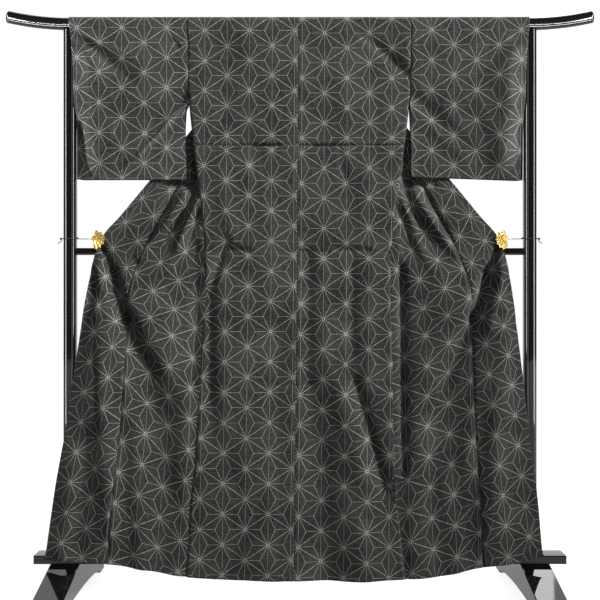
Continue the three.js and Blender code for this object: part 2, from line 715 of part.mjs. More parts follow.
function footGeometry() {
  const rise = BASE_BOTTOM - SEAM - FOOT_TIP;
  const shape = new THREE.Shape();
  shape.moveTo(-FOOT_HALF, 0);
  shape.lineTo(-FOOT_PAD_FROM, 0);
  for (let i = 1; i < FOOT_ARCH_STEPS; i += 1) {
    const angle = Math.PI * (i / FOOT_ARCH_STEPS);
    shape.lineTo(-FOOT_PAD_FROM * Math.cos(angle), FOOT_ARCH * Math.sin(angle));
  }
  shape.lineTo(FOOT_PAD_FROM, 0);
  shape.lineTo(FOOT_HALF, 0);
  const slope = [];
  for (let i = 0; i <= FOOT_TOP_STEPS; i += 1) {
    const t = i / FOOT_TOP_STEPS;
    slope.push({ y: mix(FOOT_FLAT, FOOT_HALF, t), z: FOOT_TIP + rise * (1 - t) ** FOOT_HOLLOW });
  }
  for (const point of [...slope].reverse()) {
    shape.lineTo(point.y, point.z);
  }
  for (const point of slope) {
    shape.lineTo(-point.y, point.z);
  }
  const geometry = new THREE.ExtrudeGeometry(shape, { depth: FOOT_WIDTH, bevelEnabled: false });
  const x = new THREE.Vector3(1, 0, 0);
  const y = new THREE.Vector3(0, 1, 0);
  const z = new THREE.Vector3(0, 0, 1);
  return geometry.applyMatrix4(new THREE.Matrix4().makeBasis(y, z, x));
}

function buildStand() {
  addMesh('rod', rodGeometry(), 'lacquer');
  const postBottom = BASE_BOTTOM + BASE_HEIGHT + SEAM;
  const postTop = ROD_AXIS_Z - ROD_RADIUS - SEAM;
  const postShape = roundedRectangle(POST_WIDTH, POST_DEPTH, POST_CORNER);
  for (const [name, side] of [['left', -1], ['right', 1]]) {
    const post = addMesh(`post_${name}`, bar(postShape, postTop - postBottom), 'lacquer');
    post.position.set(side * POST_X, 0, postBottom);
    const foot = addMesh(`foot_${name}`, footGeometry(), 'lacquer');
    foot.position.set(side * FOOT_X - FOOT_WIDTH / 2, 0, 0);
  }
  const railLength = 2 * (POST_X - POST_WIDTH / 2 - SEAM);
  const railShape = roundedRectangle(RAIL_HEIGHT, RAIL_DEPTH, RAIL_CORNER);
  const rail = addMesh('mid_rail', bar(railShape, railLength), 'lacquer');
  rail.rotation.y = Math.PI / 2;
  rail.position.set(-railLength / 2, 0, RAIL_Z);
  const baseShape = roundedRectangle(BASE_HEIGHT, BASE_DEPTH, BASE_CORNER);
  const base = addMesh('base_rail', bar(baseShape, BASE_HALF * 2), 'lacquer');
  base.rotation.y = Math.PI / 2;
  base.position.set(-BASE_HALF, 0, BASE_BOTTOM + BASE_HEIGHT / 2);
}

// ---- clips and strings ----

function solidOf(geometry) {
  const bare = geometry.index ? geometry.clone() : BufferGeometryUtils.mergeVertices(geometry);
  bare.deleteAttribute('normal');
  bare.deleteAttribute('uv');
  const merged = BufferGeometryUtils.mergeVertices(bare);
  const vertProperties = new Float32Array(merged.attributes.position.array);
  const triVerts = new Uint32Array(merged.index.array);
  return new wasm.Manifold(new wasm.Mesh({ numProp: 3, vertProperties, triVerts }));
}

function geometryOf(solid) {
  const mesh = solid.getMesh();
  const geometry = new THREE.BufferGeometry();
  geometry.setAttribute('position', new THREE.Float32BufferAttribute(mesh.vertProperties, 3));
  geometry.setIndex(Array.from(mesh.triVerts));
  return geometry;
}

// A flat outline of x and z, thick from y0 towards +Y
function plate(outline, y0, thickness) {
  const shape = new THREE.Shape(outline.map((point) => new THREE.Vector2(point.x, -point.z)));
  const geometry = new THREE.ExtrudeGeometry(shape, { depth: thickness, bevelEnabled: false });
  geometry.rotateX(-Math.PI / 2);
  geometry.translate(0, y0, 0);
  return solidOf(geometry);
}

function fanOutline() {
  return CLIP_RAYS.map((ray) => {
    const angle = THREE.MathUtils.degToRad(ray.angle);
    const x = -CLIP_ROOT.x + Math.cos(angle) * ray.radius;
    return { x, z: CLIP_ROOT.z + Math.sin(angle) * ray.radius };
  });
}

function rectangle({ from, to, bottom, top }) {
  return [
    { x: -from, z: bottom }, { x: -to, z: bottom }, { x: -to, z: top }, { x: -from, z: top },
  ];
}

// A spring clip: a fan on the cloth's face with a tab to press, a grip behind the cloth,
// and a bow that joins them past the cloth's edge, with a ring for the string
function clipSolid() {
  const faceY = CLIP_FRONT_Y - CLIP_PLATE;
  const gripY = CLIP_BACK_Y + CLIP_JAW;
  const ring = new THREE.TorusGeometry(CLIP_RING.radius, CLIP_RING.wire, STRING_SIDES, RING_STEPS);
  ring.rotateX(Math.PI / 2);
  ring.translate(-CLIP_RING.x + CLIP_RING.inset, STRING_Y, CLIP_RING.z);
  return plate(fanOutline(), faceY, CLIP_PLATE)
    .add(plate(rectangle(CLIP_TAB), faceY, CLIP_PLATE))
    .add(plate(rectangle(CLIP_COVER), faceY, CLIP_PLATE))
    .add(plate(rectangle(CLIP_BOW), faceY, gripY - faceY))
    .add(plate(rectangle(CLIP_GRIP), CLIP_BACK_Y, CLIP_JAW))
    .add(solidOf(ring));
}

// The string runs from the ring to the post, once round it and ends against itself
function stringPoints() {
  const out = STRING_RADIUS + STRING_STAND_OFF;
  const halfWidth = POST_WIDTH / 2 + out;
  const halfDepth = POST_DEPTH / 2 + out;
  const start = -CLIP_RING.x - CLIP_RING.radius - CLIP_RING.wire - STRING_RADIUS;
  const turn = STRING_TURN.map((row) => new THREE.Vector3(
    -POST_X + row.x * (halfWidth - row.cutX * STRING_CORNER),
    row.y * (halfDepth - row.cutY * STRING_CORNER),
    CLIP_RING.z + row.climb,
  ));
  return [new THREE.Vector3(start, STRING_Y, CLIP_RING.z), ...turn];
}

function buildClips() {
  const clip = geometryOf(clipSolid());
  const string = tube(stringPoints(), STRING_RADIUS, STRING_SIDES);
  for (const [name, side] of [['left', 1], ['right', -1]]) {
    addMesh(`clip_${name}`, mirroredX(clip, side), 'gold');
    addMesh(`string_${name}`, mirroredX(string, side), 'string');
  }
}

function mirroredX(geometry, side) {
  if (side > 0) {
    return geometry.clone();
  }
  const copy = geometry.clone();
  copy.scale(-1, 1, 1);
  copy.setIndex(reversed(Array.from(copy.index.array)));
  return copy;
}

// ---- assembly ----

function buildBody() {
  const left = backSurface('left', 'middle', 0, -CENTRE_HALF_GAP);
  addMesh('back_left', clothWall(left, BACK_COLUMNS, BACK_ROWS), 'cloth');
  const right = backSurface('middle', 'right', CENTRE_HALF_GAP, 0);
  addMesh('back_right', clothWall(right, BACK_COLUMNS, BACK_ROWS), 'cloth');
  for (const [name, side] of [['left', -1], ['right', 1]]) {
    addMesh(`front_${name}`, clothWall(frontSurface(side), FRONT_COLUMNS, FRONT_ROWS), 'cloth');
    addMesh(`okumi_${name}`, clothWall(okumiSurface(side), OKUMI_COLUMNS, OKUMI_ROWS), 'cloth');
  }
}

function buildSleeves() {
  for (const name of ['left', 'right']) {
    const near = clothWall(sleeveSurface(name, -1), SLEEVE_COLUMNS, SLEEVE_ROWS);
    addMesh(`sleeve_${name}_back`, near, 'cloth');
    const far = clothWall(sleeveSurface(name, 1), SLEEVE_COLUMNS, SLEEVE_ROWS);
    addMesh(`sleeve_${name}_front`, far, 'cloth');
  }
}

function buildCollar() {
  const collar = clothWall(collarSurface(1, 0), COLLAR_COLUMNS, COLLAR_ROWS);
  addMesh('collar', collar, 'cloth');
  const over = collarSurface(OVER_COLLAR_REACH, OVER_COLLAR_LIFT);
  addMesh('over_collar', clothWall(over, COLLAR_COLUMNS, COLLAR_ROWS), 'cloth');
}

buildStand();
buildBody();
buildSleeves();
buildCollar();
buildClips();

export default garment;
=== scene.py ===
"""A tsumugi kimono hung on its lacquered stand, seen from the garment's back.

Tables and shape sizes are in millimetres, as in the part's source; meshes, the camera and
the lights are in metres. +Z is up, and the viewer stands on the -Y side.
"""

import json
import math

import bpy
import numpy as np
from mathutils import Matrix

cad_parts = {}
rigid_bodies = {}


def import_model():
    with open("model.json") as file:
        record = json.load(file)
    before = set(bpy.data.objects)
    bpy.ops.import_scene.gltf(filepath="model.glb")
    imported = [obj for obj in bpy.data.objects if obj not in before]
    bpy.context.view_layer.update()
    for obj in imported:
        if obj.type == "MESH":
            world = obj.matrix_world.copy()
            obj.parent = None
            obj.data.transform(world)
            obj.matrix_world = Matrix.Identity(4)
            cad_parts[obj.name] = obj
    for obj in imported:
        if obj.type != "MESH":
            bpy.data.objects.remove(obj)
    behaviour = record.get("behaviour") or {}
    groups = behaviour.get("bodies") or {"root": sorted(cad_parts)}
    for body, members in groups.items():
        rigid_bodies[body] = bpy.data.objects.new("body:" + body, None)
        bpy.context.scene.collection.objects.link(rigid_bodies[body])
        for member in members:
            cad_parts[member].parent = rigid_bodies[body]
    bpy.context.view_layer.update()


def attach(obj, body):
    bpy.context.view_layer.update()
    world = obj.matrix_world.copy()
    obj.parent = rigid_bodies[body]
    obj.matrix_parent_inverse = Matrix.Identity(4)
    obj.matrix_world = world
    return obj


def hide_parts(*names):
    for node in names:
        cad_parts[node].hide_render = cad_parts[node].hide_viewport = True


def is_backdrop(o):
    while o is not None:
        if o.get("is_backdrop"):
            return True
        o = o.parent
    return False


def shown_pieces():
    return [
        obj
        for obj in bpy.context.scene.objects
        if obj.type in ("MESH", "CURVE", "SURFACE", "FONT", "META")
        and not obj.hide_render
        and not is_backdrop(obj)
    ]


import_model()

# ---- camera ----
CAMERA_HEIGHT = 0.8344
CAMERA_DISTANCE = 2.3
VIEW_WIDTH = 1.68            # what the 600 pixels span in the plane of the stand
SENSOR = 36.0

camera_data = bpy.data.cameras.new("camera")
camera_data.sensor_width = SENSOR
camera_data.lens = SENSOR * CAMERA_DISTANCE / VIEW_WIDTH
camera = bpy.data.objects.new("camera", camera_data)
camera.location = (0, -CAMERA_DISTANCE, CAMERA_HEIGHT)
camera.rotation_euler = (math.radians(90), 0, 0)
bpy.context.scene.collection.objects.link(camera)
bpy.context.scene.camera = camera


def table(columns, rows):
    """Rows of numbers as one array for each named column."""
    return {name: np.array([row[i] for row in rows], float)
            for i, name in enumerate(columns.split())}


# ---- driving dimensions, as in the part's source ----
CLOTH = 1.6                  # wall of the solids; the cloth here runs along its middle
SHELL = 0.9                  # thickness of the cloth here
SEAM = 0.3
LIFT = CLOTH + SEAM
RIDGE_HALF_GAP = SEAM / 2 + 0.08   # from the rod's top line to each layer that starts there
ROD_AXIS_Z = 1607
ROD_RADIUS = 16.8
ROD_HALF = 818
ROD_BEND_START = 640
ROD_TIP_RISE = 20
ROD_ROUNDING = 3
POST_X = 643
POST_WIDTH = 36
POST_DEPTH = 30
POST_CORNER = 11
RAIL_Z = 970
RAIL_HEIGHT = 20
RAIL_DEPTH = 18
RAIL_CORNER = 5
BASE_HALF = 738
BASE_BOTTOM = 102.5
BASE_HEIGHT = 24
BASE_DEPTH = 54
BASE_CORNER = 3
FOOT_X = 651
FOOT_HALF = 258
FOOT_WIDTH = 82
FOOT_FLAT = BASE_DEPTH / 2 + 2   # half the level top that carries the base rail
FOOT_TIP = 38
FOOT_HOLLOW = 1.05           # how strongly the sloping top is hollowed, 1 for straight
FOOT_ARCH = 27
FOOT_PAD_FROM = 212
DRAPE_GAP = 0.8              # between the rod and the cloth that lies on it
DRAPE_RADIUS = ROD_RADIUS + DRAPE_GAP + CLOTH / 2
FREE_FROM = 1590             # folds start below this height and are full
FREE_RUN = 60                # this much lower
SEAM_SHARE = 0.16            # share of a piece's width that its seam keeps free of folds
SIDE_SEAM_GAP = 1.4
SEAM_TUCK = 6
SHOULDER_SHARE = 0.02        # share of a hanging piece's rows that lie over the rod
OKUMI_TOP = 3
SEAM_SECTION = 5.6
HEM_SECTION = 12             # from here down the rows turn to the hem's line
FOLDS_FROM = 5
FOLDS_FULL = 6.6
COLLAR_WIDTH = 58
NECK_HALF = 62
NECK_SEAM_ANGLE = 0.3
COLLAR_RADIUS = DRAPE_RADIUS + LIFT + 0.1
COLLAR_END = (555, -13.2, 1000)
COLLAR_STAND_OFF = 4
OVER_COLLAR_LIFT = LIFT + 0.2
NECK_ROWS = 0.3
OVER_COLLAR_REACH = 0.7
SLEEVE_BOTTOM = {"left": (1168, 1169), "right": (1176, 1166)}
SLEEVE_TURN = 0.85
CLIP_ROOT = (574, 1007)
CLIP_FRONT_Y = -17.3
CLIP_BACK_Y = -12
CLIP_JAW = 1.2
CLIP_TAB = (569, 561, 1005, 1027.5)      # from and to across, bottom and top
CLIP_COVER = (578, 564, 999, 1013)
CLIP_BOW = (577, 570, 1000, 1012)
CLIP_GRIP = (577, 554, 999, 1013)
CLIP_RING = (581.5, 1004, 3.6, 1)
STRING_RADIUS = 1.2
STRING_STAND_OFF = 0.8
STRING_CORNER = 7            # how much of the post's corner the string cuts
RING_INSET = 1
RING_DEPTH = 2               # the ring's wire lies this far behind the clip's front

BACK_EDGES = table("z left middle right", [
    (1626, -311, -5.6, 308.5),
    (1470, -311.5, -6, 306.5),
    (1384, -308, -6.5, 304),
    (1295, -299.4, -7, 294),
    (1203, -289, -7.5, 281.5),
    (1139, -281, -8, 270),
    (1011, -266, -8.5, 256.5),
    (870, -264, -9, 249),
    (724, -269, -10.5, 253),
    (540, -280.5, -12.5, 257),
    (403, -286, -14.5, 263.5),
    (266, -301, -16, 268.5),
    (60, -312, -18, 289),
])
BACK_DEPTHS = table("z y", [
    (1607, -DRAPE_RADIUS),
    (1384, -21),
    (1150, -27),
    (1000, -29),
    (700, -35),
    (400, -41),
    (60, -46),
])
HEM = table("x z", [
    (-710, 121),
    (-534, 110.5),
    (-411, 91.5),
    (-310, 74),
    (-190, 66),
    (0, 62.5),
    (190, 63.5),
    (300, 68),
    (410, 80),
    (512, 102),
    (603, 115),
    (670, 134),
])
BACK_FOLDS = table("x0 z0 x1 z1 width rise", [
    (-202, 1000, -240, 880, 12, -5),
    (-254, 867, -251, 560, 14, -5),
    (22, 956, 22, 603, 16, -5),
    (144, 956, 142, 670, 14, -5),
    (153, 610, 232, 312, 15, -14),
    (108, 590, 190, 270, 26, 6),
    (-121, 250, -196, 110, 24, -7),
    (-60, 330, -84, 60, 42, 6),
    (60, 420, 84, 60, 36, -6),
    (170, 210, 190, 60, 34, 7),
    (-144, 1568, -288, 1445, 16, -4),
    (167, 1579, 288, 1468, 16, -4),
])
LEFT_WING_FOLDS = table("x0 z0 x1 z1 width rise", [
    (-528, 915, -476, 776, 14, -14),
    (-476, 776, -410, 630, 21, -11),
    (-410, 630, -322, 150, 30, -9),
    (-560, 925, -524, 779, 13, 8),
    (-524, 779, -440, 390, 26, 8),
    (-572, 900, -558, 447, 13, -5),
    (-308, 1122, -443, 956, 13, 9),
    (-290, 1130, -376, 1004, 10, -7),
    (-284, 1106, -340, 982, 11, 8),
    (-280, 1080, -316, 1012, 9, -6),
    (-390, 880, -350, 650, 45, 6),
    (-610, 420, -650, 120, 24, 7),
    (-420, 330, -440, 90, 30, 7),
])
RIGHT_WING_FOLDS = table("x0 z0 x1 z1 width rise", [
    (530, 912, 482, 790, 15, -12),
    (482, 790, 404, 610, 22, -10),
    (404, 610, 335, 170, 28, -8),
    (560, 920, 520, 760, 14, 8),
    (520, 760, 452, 400, 28, 8),
    (304, 1116, 436, 960, 14, 8),
    (300, 1090, 366, 1008, 11, -6),
    (280, 925, 282, 350, 12, -13),
    (380, 860, 345, 640, 42, 6),
    (590, 430, 618, 140, 24, 7),
    (400, 320, 424, 90, 28, 7),
])
SLEEVE_FOLDS = table("x0 z0 x1 z1 width rise", [
    (-622, 1570, -470, 1448, 17, -5),
    (-318, 1392, -500, 1205, 19, -5),
    (608, 1556, 490, 1468, 14, -5),
    (316, 1400, 532, 1205, 19, -5),
])
FRONT_SECTIONS = table("at sx sy sz ax ay bx by cx cy cz", [
    (0, -309.4, 18.4, 1607, -227, 18.4, -145, 18.4, -62, 18.4, 1607),
    (1, -308, 17.6, 1500, -252, 16, -196, 14.5, -140, 13.2, 1508),
    (2, -302, 12, 1389, -215, -6, -165, 7, -224, 7.6, 1406),
    (3, -293, -6, 1310, -160, -14, -150, 7, -251.5, 5.6, 1372),
    (4, -287, -14, 1240, -215, -18, -195, 3, -272, 2.4, 1310),
    (5, -282, -20, 1180, -250, -20, -240, -2, -296, -2.6, 1245),
    (6, -273, -24, 1115, -280, -15, -305, -9, -340, -8.6, 1160),
    (7, -264, -26, 1045, -305, -20, -347, -15.5, -392, -13.8, 1062),
    (8, -260, -27, 970, -318, -24, -376, -21, -434, -18.5, 976),
    (9, -258, -29, 880, -328, -27, -398, -25, -469, -23, 882),
    (10, -262, -31, 760, -334, -31, -407, -30, -480, -28, 760),
    (11, -270, -34, 610, -342, -34, -414, -33, -486, -31, 610),
    (12, -279, -36, 440, -352, -37, -425, -36, -499, -34, 440),
    (13, -292, -40, 260, -368, -40, -443, -39, -519, -36, 260),
    (14, -305, -43, 74, -382, -42, -458, -41, -535, -38, 110),
])
OKUMI_EDGE = table("at x y z", [
    (3, -262, 5.2, 1366),
    (4, -308, 2, 1306),
    (5, -366, -2.4, 1233),
    (6, -430, -6.6, 1155),
    (7, -494, -11.2, 1076),
    (8, -555, -15.5, 1001),
    (9, -586, -20, 888),
    (10, -603, -25, 760),
    (11, -627, -29, 610),
    (12, -652, -33, 440),
    (13, -685, -36, 260),
    (14, -709, -38, 121),
])
RIGHT_REACH = table("z factor", [
    (1607, 1),
    (1000, 1),
    (345, 0.965),
    (60, 0.94),
])
SLEEVE_EDGES = table("z left right", [
    (1626, -645, 639),
    (1607, -642, 638),
    (1540, -634, 632),
    (1470, -629.5, 627.5),
    (1389, -627.5, 625),
    (1358, -623.6, 622.8),
    (1160, -623.4, 622.4),
])
SLEEVE_NEAR_SIDE = table("z body middle near cuff", [
    (1607, -18.4, -18.4, -18.4, -18.4),
    (1520, -19, -19, -19.2, -19.4),
    (1389, -21, -19, -19.2, -19.8),
    (1345, -20.4, -18.4, -18, -13),
    (1300, -19.4, -17.6, -16, -3),
    (1230, -16.5, -15.4, -12, -1.2),
    (1164, -13.2, -12.6, -8, -1.2),
])
SLEEVE_FAR_SIDE = table("z body middle near cuff", [
    (1607, 18.4, 18.4, 18.4, 18.4),
    (1520, 17.6, 17.9, 18.3, 18.8),
    (1389, 12.2, 14.2, 17, 18.8),
    (1345, 5, 9.5, 13.5, 13),
    (1300, -3.5, 4, 9, 3.4),
    (1230, -7.4, -4.6, 0.5, 1.2),
    (1164, -10.8, -10.2, -5.6, 1.2),
])
SLEEVE_INNER = table("z left right", [
    (1626, -311.5, 309),
    (1470, -312, 307),
    (1386, -309, 304.8),
    (1362, -318, 306),
    (1280, -319, 307.5),
    (1160, -315, 308.5),
])
CLIP_RAYS = table("angle radius", [
    (78, 14),
    (67, 16.5),
    (56, 22),
    (45, 22),
    (34, 27.5),
    (23, 26),
    (12, 30),
    (1, 27.5),
    (-10, 31),
    (-21, 28),
    (-32, 32),
    (-43, 29),
    (-54, 33),
    (-65, 29.5),
    (-76, 33),
    (-87, 26),
    (-98, 24),
])
LAST_SECTION = len(FRONT_SECTIONS["at"]) - 1

# Seams, tucks and creases that the solids are too thick to show
TUCK_Z = 1263                # the tuck sewn across the back at the waist
TUCK_TAKES = 41              # how much of the pattern it hides
STORE_CREASES = (969, 599)   # pressed in by the flat folding in a drawer
HEM_TURN = 11                # depth of the turned-in edge, and how softly it ends
HEM_FADE = 3
SEAM_GROOVE = 3.2
CENTRE_GROOVE = 1.1
CENTRE_HALF_GAP = 0.05       # from the centre back seam to each back panel's cloth
SEAM_GROOVE_WIDTH = 2.8
SEAM_ROLL = (0.5, 7, 5)      # how high, how far and how wide the cloth rises beside a seam
CREASE_LIMITS = (-15, 7)     # the fine forms stay within these, to the viewer
FRONT_ACROSS = 200           # about how wide these pieces are, to place their seams' grooves
SLEEVE_ACROSS = 320

# Finer creases: a line, its half width, and how far it rises to the viewer
BACK_CREASES = table("x0 z0 x1 z1 width rise", [
    (-206, 1000, -242, 884, 12, -6),
    (-296, 846, -254, 868, 6, -2),
    (-252, 860, -244, 440, 20, -4),
    (-215, 860, -205, 480, 22, 4),
    (14, 950, 34, 600, 24, -1),
    (60, 940, 76, 640, 20, 3),
    (150, 950, 148, 700, 20, -2),
    (196, 940, 190, 640, 18, 3),
    (156, 606, 250, 290, 30, -8),
    (-170, 820, -130, 160, 40, 6),
    (-60, 760, -50, 120, 28, -5),
    (30, 600, 56, 80, 34, -7),
    (128, 570, 150, 70, 42, 8),
    (-215, 1200, -190, 1020, 24, 4),
    (190, 1180, 170, 1000, 26, 4),
    (-190, 972, -142, 970, 10, -8),
    (104, 974, 186, 970, 11, -8),
    (-110, 1250, -100, 1180, 9, -2.5),
    (-128, 1262, -60, 1262, 7, -4),
    (40, 1262, 150, 1262, 7, -4),
    (112, 1250, 128, 1150, 12, -4),
    (-128, 1250, -118, 1120, 14, -4),
    (-180, 1566, -300, 1470, 14, -8),
    (-100, 1588, -240, 1500, 14, 3),
    (170, 1578, 300, 1465, 14, -7),
    (110, 1590, 240, 1510, 14, 3),
    (-200, 1400, -230, 1290, 16, -3),
    (60, 1540, 150, 1300, 24, 2),
    (-60, 1500, -120, 1290, 24, 2),
    (210, 1380, 220, 1275, 14, -2),
])
WING_CREASES = table("x0 z0 x1 z1 width rise end", [
    (-551, 980, -521, 917, 9, -14, 1),
    (-521, 917, -474, 776, 13, -15, 1),
    (-474, 776, -410, 635, 20, -7, 0.6),
    (-410, 635, -322, 150, 30, 4, 1),
    (-556, 950, -560, 800, 14, 6, 1),
    (-560, 800, -515, 200, 34, 15, 1),
    (-480, 880, -420, 720, 26, 9, 0.5),
    (-430, 840, -370, 620, 48, 13, 0.6),
    (-305, 560, -330, 90, 46, 9, 1),
    (-286, 980, -288, 420, 20, -8, 1),
    (-575, 900, -590, 760, 12, -4, 1),
    (-640, 420, -670, 140, 26, 5, 1),
    (-590, 470, -610, 130, 24, -6, 1),
    (-343, 1153, -457, 926, 7, -10, 0.15),
    (-318, 1135, -430, 950, 13, 13, 0.1),
    (-290, 1140, -376, 998, 8, -14, 0.1),
    (-284, 1107, -342, 982, 9, 9, 0.1),
    (-278, 1079, -333, 923, 10, -9, 0.2),
    (-300, 1030, -400, 870, 16, 8, 0.2),
    (-262, 1010, -300, 900, 10, 5, 0.3),
    (-460, 420, -440, 110, 22, 5, 1),
    (-545, 760, -570, 80, 90, 13, 1),
])
SLEEVE_CREASES = table("x0 z0 x1 z1 width rise end", [
    (-640, 1590, -500, 1455, 22, -13, 0.1),
    (-388, 1592, -340, 1540, 9, -6, 1),
    (-350, 1590, -322, 1560, 7, -4, 1),
    (-316, 1404, -500, 1220, 18, -7, 0.3),
    (-600, 1590, -440, 1500, 14, 4, 1),
    (-330, 1350, -440, 1240, 14, 4, 1),
    (-584, 1540, -566, 1200, 26, 8, 1),
    (-632, 1552, -520, 1440, 18, 6, 0.2),
    (-470, 1400, -540, 1250, 22, 3, 1),
    (622, 1580, 500, 1480, 16, -8, 0.1),
    (314, 1404, 460, 1262, 16, -2, 0.2),
    (560, 1592, 430, 1510, 14, 4, 1),
    (330, 1350, 450, 1230, 14, 2, 1),
    (584, 1550, 562, 1200, 30, 10, 1),
    (500, 1400, 560, 1260, 22, 3, 1),
])

# Where the wings sink in deep shade behind the sleeve's foot, as a line like the others
ARMPIT_HOLLOW = table("x0 z0 x1 z1 width rise", [
    (-306, 1250, -300, 1150, 15, -22),
    (-372, 1160, -306, 1158, 8, -13),
])

# Long soft waves of the whole cloth: wavelengths across and down, and height
WAVES = ((210, 900, 0.9), (138, 640, 0.6), (96, 430, 0.4), (67, 300, 0.25),
         (340, 240, 0.5), (180, 150, 0.3), (52, 120, 0.15))


# ---- small helpers ----

def clamp01(value):
    return np.clip(value, 0.0, 1.0)


def ease(value):
    t = clamp01(value)
    return t * t * (3 - 2 * t)


def mix(a, b, t):
    return a + (b - a) * t


def track(columns, key, column, at):
    """The smooth value of one named column of a table, at places along its key column."""
    keys, values = columns[key], columns[column]
    if keys[-1] < keys[0]:
        keys, values = keys[::-1], values[::-1]
    at = np.asarray(at, float)
    i = np.clip(np.searchsorted(keys, at, side="left") - 1, 0, len(keys) - 2)
    low = np.maximum(np.arange(len(keys)) - 1, 0)
    high = np.minimum(np.arange(len(keys)) + 1, len(keys) - 1)
    slopes = (values[high] - values[low]) / (keys[high] - keys[low])
    span = keys[i + 1] - keys[i]
    t = clamp01((at - keys[i]) / span)
    rise = t * (1 - t) ** 2 * slopes[i] * span
    fall = t * t * (1 - t) * slopes[i + 1] * span
    return mix(values[i], values[i + 1], t * t * (3 - 2 * t)) + rise - fall


def fold_rise(folds, x, z):
    """How far the folds of a table bring the cloth towards the viewer.

    Where a table has a column end, that share of the height is left at a fold's far end.
    """
    rise = np.zeros(np.broadcast(x, z).shape)
    ends = folds.get("end", np.ones(len(folds["x0"])))
    lines = (folds[name] for name in ("x0", "z0", "x1", "z1", "width", "rise"))
    for x0, z0, x1, z1, width, height, end in zip(*lines, ends):
        dx, dz = x1 - x0, z1 - z0
        along = clamp01(((x - x0) * dx + (z - z0) * dz) / (dx * dx + dz * dz))
        away = np.hypot(x - x0 - along * dx, z - z0 - along * dz)
        left = mix(1, end, ease((along - 0.3) / 0.7))
        rise += height * left * np.exp(-((away / (width * (1.5 - 0.5 * left))) ** 2))
    return rise


def waves(x, z, seed):
    """Seeded soft unevenness of hung cloth, in millimetres."""
    random = np.random.default_rng(seed)
    total = np.zeros(np.broadcast(x, z).shape)
    for across, down, height in WAVES:
        for _ in range(2):
            turn, lean = random.uniform(0, 2 * math.pi), random.uniform(-0.35, 0.35)
            spread = random.uniform(0.8, 1.25)
            total += height * 0.7 * np.sin(
                2 * math.pi * ((x + lean * z) / (across * spread) + z / (down * spread)) + turn)
    return total


def hill(distance, width):
    return np.exp(-((distance / width) ** 2))


def run_along(points):
    """Length of a line of points up to each of them."""
    return np.concatenate([[0], np.cumsum(np.linalg.norm(np.diff(points, axis=0), axis=1))])


def unit(vectors):
    return vectors / np.linalg.norm(vectors, axis=1, keepdims=True)


def spaced(count, edge_share=0.06, edge_steps=4):
    """Steps from 0 to 1 with fine ones at both ends, for the seams."""
    fine = edge_share * (np.arange(edge_steps) / edge_steps) ** 1.6
    middle = np.linspace(edge_share, 1 - edge_share, count - 2 * edge_steps + 1)
    return np.concatenate([fine, middle, 1 - fine[::-1]])


def rows_with(count, fine_at, reach=0.012, steps=7):
    """Steps from 0 to 1 with extra ones round some places, such as a sewn tuck."""
    extra = [at + reach * np.linspace(-1, 1, 2 * steps + 1) for at in fine_at]
    all_rows = np.concatenate([np.linspace(0, 1, count), *extra])
    all_rows = np.unique(np.round(all_rows[(all_rows >= 0) & (all_rows <= 1)], 6))
    keep = np.concatenate([[True], np.diff(all_rows) > 4e-4])
    keep[-1] = True
    return all_rows[keep]


def new_object(name, vertices, faces, smooth=True):
    mesh = bpy.data.meshes.new(name)
    mesh.from_pydata([tuple(v) for v in np.asarray(vertices) / 1000], [], faces)
    mesh.validate()
    mesh.polygons.foreach_set("use_smooth", [smooth] * len(mesh.polygons))
    mesh.update()
    obj = bpy.data.objects.new(name, mesh)
    bpy.context.scene.collection.objects.link(obj)
    return obj


def shell_faces(rows, columns):
    """Quads of a closed shell: an outer grid, an inner grid, and the rim between them."""
    index = np.arange(2 * rows * columns).reshape(2, rows, columns)
    out, inn = index

    def quads(a, b, c, d):
        return np.stack([a.ravel(), b.ravel(), c.ravel(), d.ravel()], 1)

    faces = [
        quads(out[:-1, :-1], out[1:, :-1], out[1:, 1:], out[:-1, 1:]),
        quads(inn[:-1, :-1], inn[:-1, 1:], inn[1:, 1:], inn[1:, :-1]),
        quads(out[:-1, 0], inn[:-1, 0], inn[1:, 0], out[1:, 0]),
        quads(out[:-1, -1], out[1:, -1], inn[1:, -1], inn[:-1, -1]),
        quads(out[0, :-1], out[0, 1:], inn[0, 1:], inn[0, :-1]),
        quads(out[-1, :-1], inn[-1, :-1], inn[-1, 1:], out[-1, 1:]),
    ]
    return np.concatenate(faces)


def grid_normals(grid):
    across = np.gradient(grid, axis=1)
    down = np.gradient(grid, axis=0)
    normal = np.cross(across, down)
    return normal / np.maximum(np.linalg.norm(normal, axis=2, keepdims=True), 1e-9)


def signed_volume(vertices, faces):
    a, b, c, d = (vertices[faces[:, k]] for k in range(4))
    return ((a * np.cross(b, c)).sum(1) + (a * np.cross(c, d)).sum(1)).sum()


